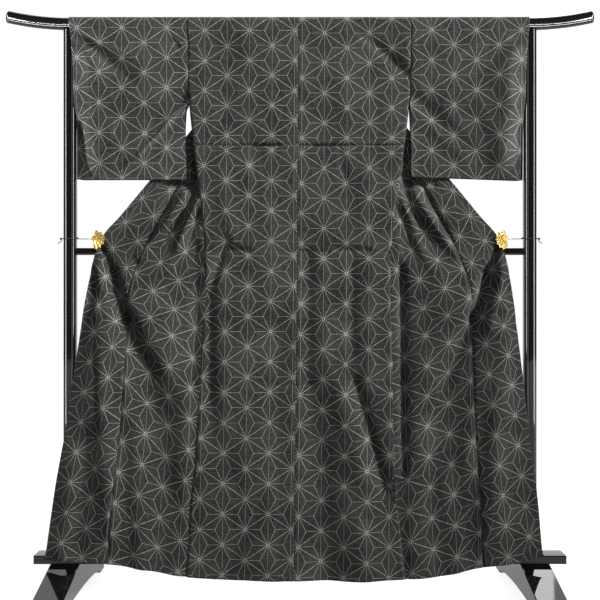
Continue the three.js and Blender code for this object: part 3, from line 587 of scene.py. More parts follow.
def cloth_piece(name, grid, pattern, hem):
    """A thin closed shell along a grid of points, with the pattern's coordinates on it.

    hem thickens the first and last rows and the first and last columns, where the edge is
    turned in and sewn down, by a share of the cloth.
    """
    rows, columns = grid.shape[:2]
    normal = grid_normals(grid)
    half = np.full((rows, columns), SHELL / 2)
    for axis, edge, share in ((0, 0, hem[0]), (0, -1, hem[1]), (1, 0, hem[2]), (1, -1, hem[3])):
        if share:
            line = np.take(grid, edge, axis=axis)
            away = np.linalg.norm(grid - np.expand_dims(line, axis), axis=2)
            half += SHELL / 2 * share * (1 - ease((away - HEM_TURN) / HEM_FADE))
    half = np.minimum(half, CLOTH / 2)[..., None]
    vertices = np.concatenate([
        (grid + normal * half).reshape(-1, 3), (grid - normal * half).reshape(-1, 3)])
    faces = shell_faces(rows, columns)
    if signed_volume(vertices, faces) < 0:
        faces = faces[:, ::-1]
    obj = new_object(name, vertices, faces.tolist())
    layer = obj.data.uv_layers.new(name="pattern")
    corner = np.empty(len(obj.data.loops), np.int32)
    obj.data.loops.foreach_get("vertex_index", corner)
    both = np.concatenate([pattern.reshape(-1, 2)] * 2)
    layer.uv.foreach_set("vector", both[corner].astype(np.float32).ravel())
    return obj


# ---- the cloth's surfaces, as in the part's source ----

def shoulder(v, sign):
    """Depth and height of rows that lie over the rod, and how far the others have fallen."""
    over = v <= SHOULDER_SHARE
    first = RIDGE_HALF_GAP / DRAPE_RADIUS
    angle = mix(first, math.pi / 2, clamp01(v / SHOULDER_SHARE))
    y = sign * DRAPE_RADIUS * np.sin(angle)
    z = ROD_AXIS_Z + DRAPE_RADIUS * np.cos(angle)
    return over, y, z, clamp01((v - SHOULDER_SHARE) / (1 - SHOULDER_SHARE))


def back_depth(x, z):
    below = ease((FREE_FROM - z) / FREE_RUN)
    return track(BACK_DEPTHS, "z", "y", z) - below * fold_rise(BACK_FOLDS, x, z)


def puckers(x, z, seed):
    """Small gathers above and below the sewn tuck."""
    random = np.random.default_rng(seed)
    total = np.zeros(np.broadcast(x, z).shape)
    for _ in range(26):
        at, wide = random.uniform(-290, 290), random.uniform(7, 16)
        lean, size = random.uniform(-0.35, 0.35), random.uniform(0.3, 1.3)
        drop, side = random.uniform(14, 45), random.choice([-1, 1])
        away = z - TUCK_Z
        fade = np.exp(-np.abs(away) / drop) * np.where(away * side > 0, 1.0, 0.35)
        total += size * fade * hill(x - at - lean * away, wide)
    return total


def back_surface(edge0, edge1, inset0, inset1, groove0, groove1):
    def place(u, v):
        over, top_y, top_z, fall = shoulder(v, -1)
        z = np.where(over, top_z, mix(ROD_AXIS_Z, HEM["z"][5], fall))
        x0 = track(BACK_EDGES, "z", edge0, z) + inset0
        x1 = track(BACK_EDGES, "z", edge1, z) + inset1
        x = mix(x0, x1, u)
        z = np.where(over, top_z, mix(ROD_AXIS_Z, track(HEM, "x", "z", x), fall))
        free = ease((FREE_FROM - z) / FREE_RUN)
        rise = fold_rise(BACK_CREASES, x, z) + waves(x, z, 7) * 0.9 - puckers(x, z, 11)
        step = z - TUCK_Z
        sunk = 2.2 + 3.2 * np.sin(x / 58 + 0.6) ** 2
        rise += 1.3 * hill(step - 7, 8) + 0.9 * hill(step + 7, 9) - sunk * hill(step, 3.2)
        for crease in STORE_CREASES:
            uneven = 0.55 + 0.45 * np.sin(x / 47 + crease)
            rise += -5.0 * uneven * np.exp(-np.abs(z - crease) / 8)
        width = x1 - x0
        roll, roll_at, roll_width = SEAM_ROLL
        for away, groove in ((u * width, groove0), ((1 - u) * width, groove1)):
            rise += -groove * hill(away, SEAM_GROOVE_WIDTH) + roll * hill(away - roll_at, roll_width)
        y = np.where(over, top_y, back_depth(x, z) - free * np.clip(rise, *CREASE_LIMITS))
        return np.stack([x, y, z], -1)
    return place


def reach(side, z):
    return np.ones_like(z) if side < 0 else track(RIGHT_REACH, "z", "factor", z)


def wing_rise(side, x, z, at):
    folds = LEFT_WING_FOLDS if side < 0 else RIGHT_WING_FOLDS
    fine = fold_rise(WING_CREASES, -np.abs(x), z) + waves(x, z, 5 + side)
    free = ease((at - FOLDS_FROM) / (FOLDS_FULL - FOLDS_FROM))
    return (fold_rise(folds, x, z) + fine) * free + fold_rise(ARMPIT_HOLLOW, -np.abs(x), z)


def hemmed(x, z, at):
    low = ease((at - HEM_SECTION) / (LAST_SECTION - HEM_SECTION))
    return mix(z, track(HEM, "x", "z", x), low ** 3)


def side_seam(side, section, at):
    edge = track(BACK_EDGES, "z", "left" if side < 0 else "right", section["sz"])
    free_x = mix(edge, -side * section["sx"], ease(at - 1))
    sewn_x = edge - side * SEAM_TUCK
    sewn_y = back_depth(sewn_x, section["sz"]) + LIFT + SIDE_SEAM_GAP
    sewn = ease(at - SEAM_SECTION + 1)
    return mix(free_x, sewn_x, sewn), mix(section["sy"], sewn_y, sewn)


def front_section(at):
    return {column: track(FRONT_SECTIONS, "at", column, at) for column in FRONT_SECTIONS}


def bezier(a, b, c, d, t):
    s = 1 - t
    return s * s * s * a + 3 * s * s * t * b + 3 * s * t * t * c + t * t * t * d


def front_surface(side):
    def place(u, v):
        over, top_y, top_z, fall = shoulder(v, 1)
        at = fall * LAST_SECTION
        section = front_section(at)
        seam_x, seam_y = side_seam(side, section, at)
        factor = -side * reach(side, section["cz"])
        x = bezier(seam_x, *(factor * section[c] for c in ("ax", "bx", "cx")), u)
        flat_y = bezier(seam_y, section["ay"], section["by"], section["cy"], u)
        flat_z = hemmed(x, mix(section["sz"], section["cz"], u), at)
        rise = wing_rise(side, x, flat_z, at) * ease(u / SEAM_SHARE)
        rise -= (SEAM_GROOVE * hill((1 - u) * FRONT_ACROSS, SEAM_GROOVE_WIDTH)) * ease(at - OKUMI_TOP)
        y = np.where(over, top_y, flat_y - rise)
        return np.stack([x, y, np.where(over, top_z, flat_z)], -1)
    return place


def okumi_surface(side):
    def place(u, v):
        at = mix(OKUMI_TOP, LAST_SECTION, v)
        section = front_section(at)
        z1 = track(OKUMI_EDGE, "at", "z", at)
        seam_x = -side * section["cx"] * reach(side, section["cz"]) + side * 0.1
        edge_x = -side * track(OKUMI_EDGE, "at", "x", at) * reach(side, z1)
        x = mix(seam_x, edge_x, u)
        z = hemmed(x, mix(section["cz"], z1, u), at)
        y = mix(section["cy"], track(OKUMI_EDGE, "at", "y", at), u)
        rise = wing_rise(side, x, z, at)
        rise -= SEAM_GROOVE * hill(u * np.abs(edge_x - seam_x), SEAM_GROOVE_WIDTH)
        return np.stack([x, y - rise, z], -1)
    return place


def sleeve_depth(depths, z, s):
    body, middle, near, cuff = (track(depths, "z", c, z) for c in ("body", "middle", "near", "cuff"))
    inner = mix(body, middle, ease(s / 0.5))
    outer = mix(middle, near, (s - 0.5) / (SLEEVE_TURN - 0.5))
    turn = clamp01((s - SLEEVE_TURN) / (1 - SLEEVE_TURN))
    return np.where(s < 0.5, inner, np.where(s < SLEEVE_TURN, outer, mix(near, cuff, turn * turn)))


def sleeve_surface(name, sign):
    depths = SLEEVE_NEAR_SIDE if sign < 0 else SLEEVE_FAR_SIDE
    body_z, cuff_z = SLEEVE_BOTTOM[name]

    def place(u, v):
        over, top_y, top_z, fall = shoulder(v, sign)
        hem_z = mix(body_z, cuff_z, u) + 3 * ease((u - 0.9) / 0.1) ** 2
        z = np.where(over, top_z, mix(ROD_AXIS_Z, hem_z, fall))
        inner = track(SLEEVE_INNER, "z", name, z)
        outer = track(SLEEVE_EDGES, "z", name, z)
        x = mix(inner, outer, u)
        free = ease((FREE_FROM - z) / FREE_RUN) * clamp01((z - hem_z) / 60)
        rise = fold_rise(SLEEVE_FOLDS, x, z) * clamp01((1 - u) / SEAM_SHARE)
        rise += fold_rise(SLEEVE_CREASES, x, z) + waves(x, z, 31 if name == "left" else 32)
        groove = SEAM_GROOVE * hill(u * SLEEVE_ACROSS, SEAM_GROOVE_WIDTH) * ease((z - 1380) / 20)
        y = sleeve_depth(depths, z, u) + sign * (rise * free - groove)
        return np.stack([x, np.where(over, top_y, y), z], -1)
    return place


def over_rod(x, way, radius):
    quarter = radius * math.pi / 2
    angle = np.minimum(way, quarter) / radius
    y = radius * np.sin(angle)
    z = ROD_AXIS_Z + radius * np.cos(angle) - np.maximum(way - quarter, 0)
    return x, y, z


def collar_surface(reach_share, lift):
    radius = COLLAR_RADIUS + lift
    end_x, end_y, end_z = COLLAR_END
    fall_x, fall_z = end_x - NECK_HALF, ROD_AXIS_Z - end_z
    length = math.hypot(fall_x, fall_z)

    def place(u, v):
        signed = (v * 2 - 1) * reach_share
        side = np.where(signed < 0, -1, 1)
        run = np.abs(signed)
        turned = clamp01(run / NECK_ROWS)
        along = clamp01((run - NECK_ROWS) / (1 - NECK_ROWS))
        inwards = fall_z / length * COLLAR_WIDTH * ease(turned)
        down = mix(COLLAR_WIDTH, fall_x / length * COLLAR_WIDTH, ease(turned))
        start = mix(NECK_SEAM_ANGLE, math.pi / 2, ease(turned)) * radius
        x = side * (NECK_HALF * turned + fall_x * along - inwards * u)
        x, y, z = over_rod(x, start + fall_z * along + down * u, radius)
        y = y + mix(0, end_y + lift - radius, along) + COLLAR_STAND_OFF * u * turned * (1 - along)
        return np.stack([x, y, z], -1)
    return place


# ---- the pattern's place on each piece ----
STAR_ACROSS = 62.4           # between columns of stars
STAR_DOWN = 83.5             # between stars of one column

# Where a star sits on each panel: from the centre seam, or from the panel's own x
STARS = {"back_left": (-9.5, 1582.5), "back_right": (11.5, 1533.7),
         "sleeve_left": (-558, 1548.9), "sleeve_right": (427.6, 1542.5)}


def back_pattern(grid, star):
    x, z = grid[..., 0], grid[..., 2]
    across = x - track(BACK_EDGES, "z", "middle", z) - star[0]
    down = z - star[1] - TUCK_TAKES * (z < TUCK_Z)
    return np.stack([across, down], -1) / 1000


def sleeve_pattern(grid, star):
    return np.stack([grid[..., 0] - star[0], grid[..., 2] - star[1]], -1) / 1000


def up_from_hem(line):
    """Length of a hanging edge from its lower end up to each of its points."""
    return run_along(line[::-1])[::-1]


def evened(rows, reach):
    """Each row averaged with those near it, so that one fold's end doesn't bend the pattern."""
    padded = np.concatenate([rows[:1]] * reach + [rows] + [rows[-1:]] * reach)
    total = np.concatenate([np.zeros((1, rows.shape[1])), np.cumsum(padded, axis=0)])
    span = 2 * reach + 1
    return (total[span:] - total[:-span]) / span


def wing_pattern(grid, seam_first, first, star_z, slant, skew):
    """Lies along the seam between front and okumi.

    first is the distance from that seam to a column of stars, star_z the height of a star
    there, slant how much the columns lean from the seam, and skew how much the rows do.
    """
    if not seam_first:
        grid = grid[:, ::-1]
    across = evened(np.linalg.norm(np.diff(grid, axis=1), axis=2), 24)
    beside = np.concatenate([np.zeros((len(grid), 1)), np.cumsum(across, axis=1)], axis=1)
    seam, edge = up_from_hem(grid[:, 0]), up_from_hem(grid[:, -1])
    share = beside / beside[:, -1:]
    up = mix(seam[:, None], edge[:, None], share) + skew * beside
    up = up - np.interp(-star_z, -grid[:, 0, 2], seam)
    columns = beside - first + slant * up
    if not seam_first:
        columns, up = -columns[:, ::-1], up[:, ::-1]
    return np.stack([columns, up], -1) / 1000


# ---- materials ----

class Shader:
    """The nodes of a material or of the world, made by short calls."""

    def __init__(self, owner, main_node="Principled BSDF"):
        owner.use_nodes = True
        self.material = owner
        self.tree = owner.node_tree
        self.surface = self.tree.nodes[main_node]

    def put(self, socket, value):
        if isinstance(value, bpy.types.NodeSocket):
            self.tree.links.new(value, socket)
        else:
            socket.default_value = value

    def node(self, kind, inputs=(), **settings):
        node = self.tree.nodes.new("ShaderNode" + kind)
        for key, value in settings.items():
            setattr(node, key, value)
        for key, value in dict(inputs).items():
            self.put(node.inputs[key], value)
        return node

    def math(self, operation, *values):
        node = self.node("Math", operation=operation)
        for socket, value in zip(node.inputs, values):
            self.put(socket, value)
        return node.outputs[0]

    def fade(self, value, low, high, at_low=0.0, at_high=1.0):
        """value from low to high, as at_low to at_high, with soft ends."""
        node = self.node("MapRange", interpolation_type="SMOOTHSTEP")
        for key, number in zip(("Value", "From Min", "From Max", "To Min", "To Max"),
                               (value, low, high, at_low, at_high)):
            self.put(node.inputs[key], number)
        return node.outputs[0]

    def noise(self, vector, scale, detail=2.0, roughness=0.5):
        node = self.node("TexNoise", {"Vector": vector, "Scale": scale, "Detail": detail,
                                      "Roughness": roughness})
        return node.outputs["Fac"]

    def stretched(self, vector, scale):
        return self.node("VectorMath", {0: vector, 1: scale}, operation="MULTIPLY").outputs[0]

    def blend(self, factor, a, b):
        node = self.node("Mix", data_type="RGBA")
        for socket, value in ((node.inputs[0], factor), (node.inputs[6], a), (node.inputs[7], b)):
            self.put(socket, value)
        return node.outputs[2]

    def object_place(self):
        return self.node("TexCoord").outputs["Object"]

    def bump(self, height, distance, strength=1.0):
        node = self.node("Bump", {"Height": height, "Distance": distance, "Strength": strength})
        self.put(self.surface.inputs["Normal"], node.outputs[0])

    def look(self, **values):
        names = {"base": "Base Color", "metal": "Metallic", "rough": "Roughness",
                 "sheen": "Sheen Weight", "sheen_rough": "Sheen Roughness",
                 "sheen_tint": "Sheen Tint", "specular": "Specular IOR Level",
                 "coat": "Coat Weight", "coat_rough": "Coat Roughness", "ior": "IOR"}
        for key, value in values.items():
            self.put(self.surface.inputs[names[key]], value)
        return self.material


THREAD = 0.0009              # one thread of the weave, in metres
DOT = 2 * THREAD
LINE_WIDTH = 0.00105


def hemp_leaf(s, u, v):
    """How bright the pattern's pale threads are at a place on the cloth, from 0 to 1."""
    a, b = STAR_ACROSS / 1000, STAR_DOWN / 1000
    fx = s.math("PINGPONG", s.math("DIVIDE", u, a), 1.0)
    fy = s.math("PINGPONG", s.math("DIVIDE", v, b), 0.5)
    under = s.math("LESS_THAN", fy, s.math("MULTIPLY", fx, 0.5))
    # Half of each cell is turned onto the other half, so one set of lines serves both
    turned_x = s.math("MULTIPLY_ADD", fx, -2.0, 1.0)
    turned_y = s.math("MULTIPLY_ADD", fy, -2.0, 0.5)
    dx = s.math("MULTIPLY", s.math("MULTIPLY_ADD", under, turned_x, fx), a)
    dy = s.math("MULTIPLY", s.math("MULTIPLY_ADD", under, turned_y, fy), b)

    def slanted(run):
        """Distance from the line that rises half a cell over this run."""
        length = math.hypot(run, b / 2)
        first = s.math("MULTIPLY", dx, b / 2 / length)
        second = s.math("MULTIPLY", dy, run / length)
        return s.math("ABSOLUTE", s.math("SUBTRACT", first, second))

    def away(x, y):
        return s.math("SQRT", s.math("ADD", s.math("MULTIPLY", x, x), s.math("MULTIPLY", y, y)))

    def line(distance, width):
        return s.fade(distance, width * 0.3, width * 0.62, 1.0, 0.0)

    from_centre = s.math("MAXIMUM", s.math("SUBTRACT", a / 3, dx), 0.0)
    to_row = s.math("SUBTRACT", b / 2, dy)
    level = away(from_centre, to_row)
    # Every other pair of threads is the brighter one, which makes the lines dotted
    weft = s.math("PINGPONG", s.math("FLOOR", s.math("DIVIDE", v, DOT)), 1.0)
    warp = s.math("PINGPONG", s.math("FLOOR", s.math("DIVIDE", u, DOT)), 1.0)
    dots = s.math("MULTIPLY_ADD", weft, 0.6, 0.4)
    dashes = s.math("MULTIPLY_ADD", warp, 0.6, 0.4)
    upright = s.math("MULTIPLY", line(dx, LINE_WIDTH * 0.8), s.math("MULTIPLY", dots, 0.55))
    diagonal = s.math("MULTIPLY", line(slanted(a), LINE_WIDTH), dashes)
    steep = s.math("MULTIPLY", line(slanted(a / 3), LINE_WIDTH * 0.9), s.math("MULTIPLY", dots, 0.85))
    across = s.math("MULTIPLY", line(level, LINE_WIDTH * 0.85), s.math("MULTIPLY", dashes, 0.72))
    lines = s.math("MAXIMUM", s.math("MAXIMUM", upright, diagonal), s.math("MAXIMUM", steep, across))
    centre = s.math("MINIMUM", away(dx, dy), away(s.math("SUBTRACT", a, dx), to_row))
    ring = s.fade(centre, 0.0030, 0.0041, 0.6, 0.0)
    hole = s.fade(centre, 0.0019, 0.0029, 0.03, 1.0)
    return s.math("MULTIPLY", s.math("MAXIMUM", lines, ring), hole)


def cloth_material():
    s = Shader(bpy.data.materials.new("pongee_silk"))
    place = s.node("UVMap", uv_map="pattern").outputs["UV"]
    axes = s.node("SeparateXYZ", {0: place})
    u, v = axes.outputs[0], axes.outputs[1]
    # Threads wander a little, and the pattern steps from one thread to the next
    drift = s.noise(place, 130.0, 2.0)
    wander = s.math("MULTIPLY", s.math("SUBTRACT", drift, 0.5), 0.0012)
    pattern = hemp_leaf(s, s.math("SNAP", s.math("ADD", u, wander), THREAD),
                        s.math("SNAP", s.math("SUBTRACT", v, wander), THREAD))
    slub = s.noise(s.stretched(place, (60.0, 420.0, 1.0)), 1.0, 3.0, 0.65)
    warp = s.noise(s.stretched(place, (480.0, 50.0, 1.0)), 1.0, 3.0, 0.65)
    cloudy = s.noise(place, 9.0, 3.0)
    tone = s.math("ADD", s.math("MULTIPLY", slub, 0.9), s.math("MULTIPLY", warp, 0.7))
    tone = s.math("ADD", tone, s.math("MULTIPLY", cloudy, 0.5))
    ground = s.blend(s.fade(tone, 0.85, 1.25),
                     (0.0085, 0.0082, 0.0079, 1), (0.056, 0.054, 0.051, 1))
    worn = s.fade(s.noise(s.stretched(place, (500.0, 500.0, 1.0)), 1.0, 1.0), 0.25, 0.6, 0.55, 1.0)
    yarn = s.blend(cloudy, (0.60, 0.58, 0.53, 1), (0.80, 0.78, 0.72, 1))
    colour = s.blend(s.math("MULTIPLY", pattern, worn), ground, yarn)
    ribs = s.math("SINE", s.math("MULTIPLY", v, 2 * math.pi / THREAD))
    cords = s.math("SINE", s.math("MULTIPLY", u, 2 * math.pi / THREAD))
    weave = s.math("MULTIPLY", s.math("MULTIPLY", ribs, cords), 0.25)
    crumple = s.noise(s.stretched(place, (55.0, 38.0, 1.0)), 1.0, 3.0, 0.55)
    height = s.math("ADD", s.math("MULTIPLY", slub, 0.5), weave)
    height = s.math("ADD", height, s.math("MULTIPLY", crumple, 3.5))
    s.bump(height, 0.00035, 0.8)
    return s.look(base=colour, rough=0.82, specular=0.25, sheen=0.12, sheen_rough=0.45,
                  sheen_tint=(0.75, 0.72, 0.68, 1))


def lacquer_material():
    s = Shader(bpy.data.materials.new("black_lacquer"))
    place = s.object_place()
    smear = s.noise(s.stretched(place, (9.0, 9.0, 4.0)), 1.0, 3.0)
    rough = s.fade(smear, 0.3, 0.75, 0.03, 0.07)
    depth = s.blend(smear, (0.0035, 0.0035, 0.0042, 1), (0.006, 0.0055, 0.006, 1))
    s.bump(s.noise(place, 22.0, 2.0), 0.00025, 0.15)
    return s.look(base=depth, rough=rough, specular=0.5, coat=0.6, coat_rough=0.04)


def gold_material():
    s = Shader(bpy.data.materials.new("gold_plate"))
    place = s.object_place()
    marks = s.noise(s.stretched(place, (700.0, 700.0, 700.0)), 1.0, 3.0)
    tarnish = s.noise(place, 160.0, 2.0)
    colour = s.blend(s.fade(tarnish, 0.35, 0.75), (0.83, 0.62, 0.20, 1), (0.55, 0.37, 0.10, 1))
    s.bump(marks, 0.0001, 0.4)
    return s.look(base=colour, metal=1.0, rough=s.fade(tarnish, 0.3, 0.7, 0.22, 0.38))


def tab_material():
    s = Shader(bpy.data.materials.new("brown_enamel"))
    place = s.object_place()
    cloudy = s.noise(place, 220.0, 2.0)
    colour = s.blend(cloudy, (0.16, 0.11, 0.045, 1), (0.26, 0.19, 0.08, 1))
    s.bump(cloudy, 0.0001, 0.3)
    return s.look(base=colour, rough=s.fade(cloudy, 0.3, 0.7, 0.2, 0.32), coat=0.3)


def cord_material():
    s = Shader(bpy.data.materials.new("twisted_cord"))
    place = s.object_place()
    fibres = s.noise(s.stretched(place, (1500.0, 1500.0, 2600.0)), 1.0, 2.0)
    colour = s.blend(fibres, (0.016, 0.015, 0.028, 1), (0.07, 0.065, 0.10, 1))
    s.bump(fibres, 0.0002, 0.8)
    return s.look(base=colour, rough=0.78, sheen=0.2)


def floor_material():
    s = Shader(bpy.data.materials.new("pale_floor"))
    place = s.object_place()
    s.bump(s.noise(place, 30.0, 2.0), 0.0002, 0.2)
    s.put(s.surface.inputs["Emission Color"], (1, 1, 1, 1))
    seen = s.node("LightPath").outputs["Is Camera Ray"]
    mirrored = s.math("MULTIPLY", s.node("LightPath").outputs["Is Glossy Ray"], 0.34)
    glow = s.math("ADD", s.math("MULTIPLY", seen, 0.88), mirrored)
    s.put(s.surface.inputs["Emission Strength"], glow)
    return s.look(base=s.blend(s.noise(place, 3.0), (0.17, 0.17, 0.17, 1), (0.19, 0.19, 0.19, 1)),
                  rough=0.55, specular=0.2)


cloth = cloth_material()
lacquer = lacquer_material()
gold = gold_material()
enamel = tab_material()
cord = cord_material()


def finish_piece(obj, material, slot, *nodes):
    obj.data.materials.append(material)
    if nodes:
        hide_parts(*nodes)
    if obj.parent is None:
        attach(obj, "root")

# ---- cloth pieces ----

def sewn(name, place, us, vs, pattern, flat, area=None, hem=(0, 0, 0, 0), rests_on=("rod",)):
    grid = place(us[None, :], vs[:, None])
    obj = cloth_piece(name + "_cloth", grid, pattern(grid), hem)
    finish_piece(obj, cloth, "cloth", name)
    list(rests_on)


def hung_rows(count, fine=()):
    """Rows close together over the rod, then evenly down to the hem."""
    over = np.linspace(0, SHOULDER_SHARE, 9)[:-1]
    below = SHOULDER_SHARE + (1 - SHOULDER_SHARE) * rows_with(count, fine)
    return np.concatenate([over, below])


def fall_of(z):
    return (ROD_AXIS_Z - z) / (ROD_AXIS_Z - HEM["z"][5])


back_rows = hung_rows(230, [fall_of(TUCK_Z), *(fall_of(z) for z in STORE_CREASES)])
for name, ends in (("left", ("left", "middle", 0, -CENTRE_HALF_GAP, SEAM_GROOVE, CENTRE_GROOVE)),
                   ("right", ("middle", "right", CENTRE_HALF_GAP, 0, CENTRE_GROOVE, SEAM_GROOVE))):
    sewn(f"back_{name}", back_surface(*ends),
         spaced(72), back_rows, lambda g, n=name: back_pattern(g, STARS[f"back_{n}"]),
         flat=(0.29, 1.57), hem=(0, 0.7, 0, 0))

for name, side in (("left", -1), ("right", 1)):
    sewn(f"front_{name}", front_surface(side), spaced(76), hung_rows(230),
         lambda g: wing_pattern(g, False, 12, 449, 0.0, 0.20),
         flat=(0.20, 1.60), hem=(0, 0.7, 0, 0))
    sewn(f"okumi_{name}", okumi_surface(side), spaced(40), rows_with(210, ()),
         lambda g: wing_pattern(g, True, 54, 455, 0.05, 0.03),
         flat=(0.17, 1.33), area=0.17, hem=(0, 0.7, 0, 0.7), rests_on=("front_" + name,))
    for layer, sign in (("back", -1), ("front", 1)):
        sewn(f"sleeve_{name}_{layer}", sleeve_surface(name, sign), spaced(64), hung_rows(100),
             lambda g, n=name: sleeve_pattern(g, STARS[f"sleeve_{n}"]),
             flat=(0.325, 0.47), hem=(0, 0, 0, 0.7))


def collar_pattern(grid):
    run = run_along(grid[:, 0])
    across = np.linspace(0, COLLAR_WIDTH, grid.shape[1])
    return np.stack(np.broadcast_arrays(across[None, :] + 9, run[:, None]), -1) / 1000


sewn("collar", collar_surface(1, 0), np.linspace(0, 1, 17), np.linspace(0, 1, 420),
     collar_pattern, flat=(0.058, 1.67))
sewn("over_collar", collar_surface(OVER_COLLAR_REACH, OVER_COLLAR_LIFT), np.linspace(0, 1, 17),
     np.linspace(0, 1, 300), collar_pattern, flat=(0.058, 0.99), rests_on=("collar",))


# ---- the stand ----

def rounded_outline(width, depth, radius, steps=10):
    points = []
    for quarter, (sx, sy) in enumerate(((1, 1), (-1, 1), (-1, -1), (1, -1))):
        for k in range(steps + 1):
            angle = math.pi / 2 * (quarter + k / steps)
            points.append((sx * (width / 2 - radius) + radius * math.cos(angle),
                           sy * (depth / 2 - radius) + radius * math.sin(angle)))
    return points


def prism(name, outline, start, end, place, bevel):
    """A closed bar of that outline from start to end, with rounded edges at its ends."""
    count = len(outline)
    vertices = [place(a, b, along) for along in (start, end) for a, b in outline]
    faces = [[k, (k + 1) % count, count + (k + 1) % count, count + k] for k in range(count)]
    faces += [list(range(count))[::-1], list(range(count, 2 * count))]
    corners = np.array(vertices)
    volume = sum(np.dot(corners[f[0]], np.cross(corners[f[i]], corners[f[i + 1]]))
                 for f in faces for i in range(1, len(f) - 1))
    if volume < 0:
        faces = [f[::-1] for f in faces]
    obj = new_object(name, vertices, faces)
    rounding = obj.modifiers.new("rounding", "BEVEL")
    rounding.width = bevel / 1000
    rounding.segments = 4
    rounding.limit_method = "ANGLE"
    rounding.angle_limit = math.radians(35)
    rounding.harden_normals = True
    return obj


def tube(name, points, radii, sides):
    points = np.asarray(points, float)
    along = unit(np.gradient(points, axis=0))
    across = np.array([0.0, 0.0, 1.0])
    vertices = []
    for point, direction, radius in zip(points, along, radii):
        across = across - direction * across.dot(direction)
        across /= np.linalg.norm(across)
        other = np.cross(direction, across)
        for k in range(sides):
            angle = 2 * math.pi * k / sides
            vertices.append(point + radius * (across * math.cos(angle) + other * math.sin(angle)))
    faces = []
    for i in range(len(points) - 1):
        for k in range(sides):
            n = (k + 1) % sides
            faces.append([i * sides + k, i * sides + n, (i + 1) * sides + n, (i + 1) * sides + k])
    faces.append(list(range(sides))[::-1])
    faces.append([len(vertices) - sides + k for k in range(sides)])
    corners = np.array(vertices)
    quads = np.array(faces[:-2])
    if signed_volume(corners, quads) < 0:
        faces = [f[::-1] for f in faces]
    return new_object(name, vertices, faces)


def rod_line():
    """The rod's middle line and its radius, which rounds off at both ends."""
    x = np.concatenate([np.linspace(0, ROD_BEND_START, 40)[:-1],
                        np.linspace(ROD_BEND_START, ROD_HALF, 30)])
    tip = np.array([ROD_HALF - ROD_ROUNDING, ROD_HALF - 1.2, ROD_HALF])
    x = np.concatenate([x[x < ROD_HALF - ROD_ROUNDING - 1], tip])
    steps = np.linspace(0, ROD_HALF, 400)
    past = clamp01((steps - ROD_BEND_START) / (ROD_HALF - ROD_BEND_START))
    z = np.interp(x, steps, ROD_AXIS_Z + ROD_TIP_RISE * past ** 2)
    rounded = clamp01((x - ROD_HALF + ROD_ROUNDING) / ROD_ROUNDING)
    radius = ROD_RADIUS - ROD_ROUNDING + ROD_ROUNDING * np.sqrt(clamp01(1 - rounded ** 2))
    half = np.stack([x, 0 * x, z], -1)
    mirrored = (half * (-1, 1, 1))[:0:-1]
    return np.concatenate([mirrored, half]), np.concatenate([radius[:0:-1], radius])


finish_piece(tube("rod_turned", *rod_line(), 40), lacquer, "lacquer", "rod")
base_top = BASE_BOTTOM + BASE_HEIGHT
post_top = ROD_AXIS_Z - ROD_RADIUS - SEAM
foot_top = BASE_BOTTOM - SEAM


def foot_outline():
    arch = [(-FOOT_PAD_FROM * math.cos(math.pi * t), FOOT_ARCH * math.sin(math.pi * t))
            for t in np.linspace(0, 1, 33)]
    slope = [(mix(FOOT_FLAT, FOOT_HALF, t), FOOT_TIP + (foot_top - FOOT_TIP) * (1 - t) ** FOOT_HOLLOW)
             for t in np.linspace(1, 0, 25)]
    mirrored = [(-y, z) for y, z in slope[::-1]]
    return [(-FOOT_HALF, 0), *arch, (FOOT_HALF, 0), *slope, *mirrored]


for name, side in (("left", -1), ("right", 1)):
    post = prism(f"post_{name}_lacquered", rounded_outline(POST_WIDTH, POST_DEPTH, POST_CORNER),
                 base_top + SEAM, post_top, lambda a, b, t, s=side: (s * POST_X + a, b, t), 0.8)
    finish_piece(post, lacquer, "lacquer", f"post_{name}")
    foot = prism(f"foot_{name}_lacquered", foot_outline(), -FOOT_WIDTH / 2, FOOT_WIDTH / 2,
                 lambda a, b, t, s=side: (s * FOOT_X + t, a, b), 4)
    finish_piece(foot, lacquer, "lacquer", f"foot_{name}")
rail_end = POST_X - POST_WIDTH / 2 - SEAM
rail = prism("mid_rail_lacquered", rounded_outline(RAIL_DEPTH, RAIL_HEIGHT, RAIL_CORNER),
             -rail_end, rail_end, lambda a, b, t: (t, a, RAIL_Z + b), 0.4)
finish_piece(rail, lacquer, "lacquer", "mid_rail")
base = prism("base_rail_lacquered", rounded_outline(BASE_DEPTH, BASE_HEIGHT, BASE_CORNER),
             -BASE_HALF, BASE_HALF, lambda a, b, t: (t, a, BASE_BOTTOM + BASE_HEIGHT / 2 + b), 1.5)
finish_piece(base, lacquer, "lacquer", "base_rail")


# ---- clips and strings ----

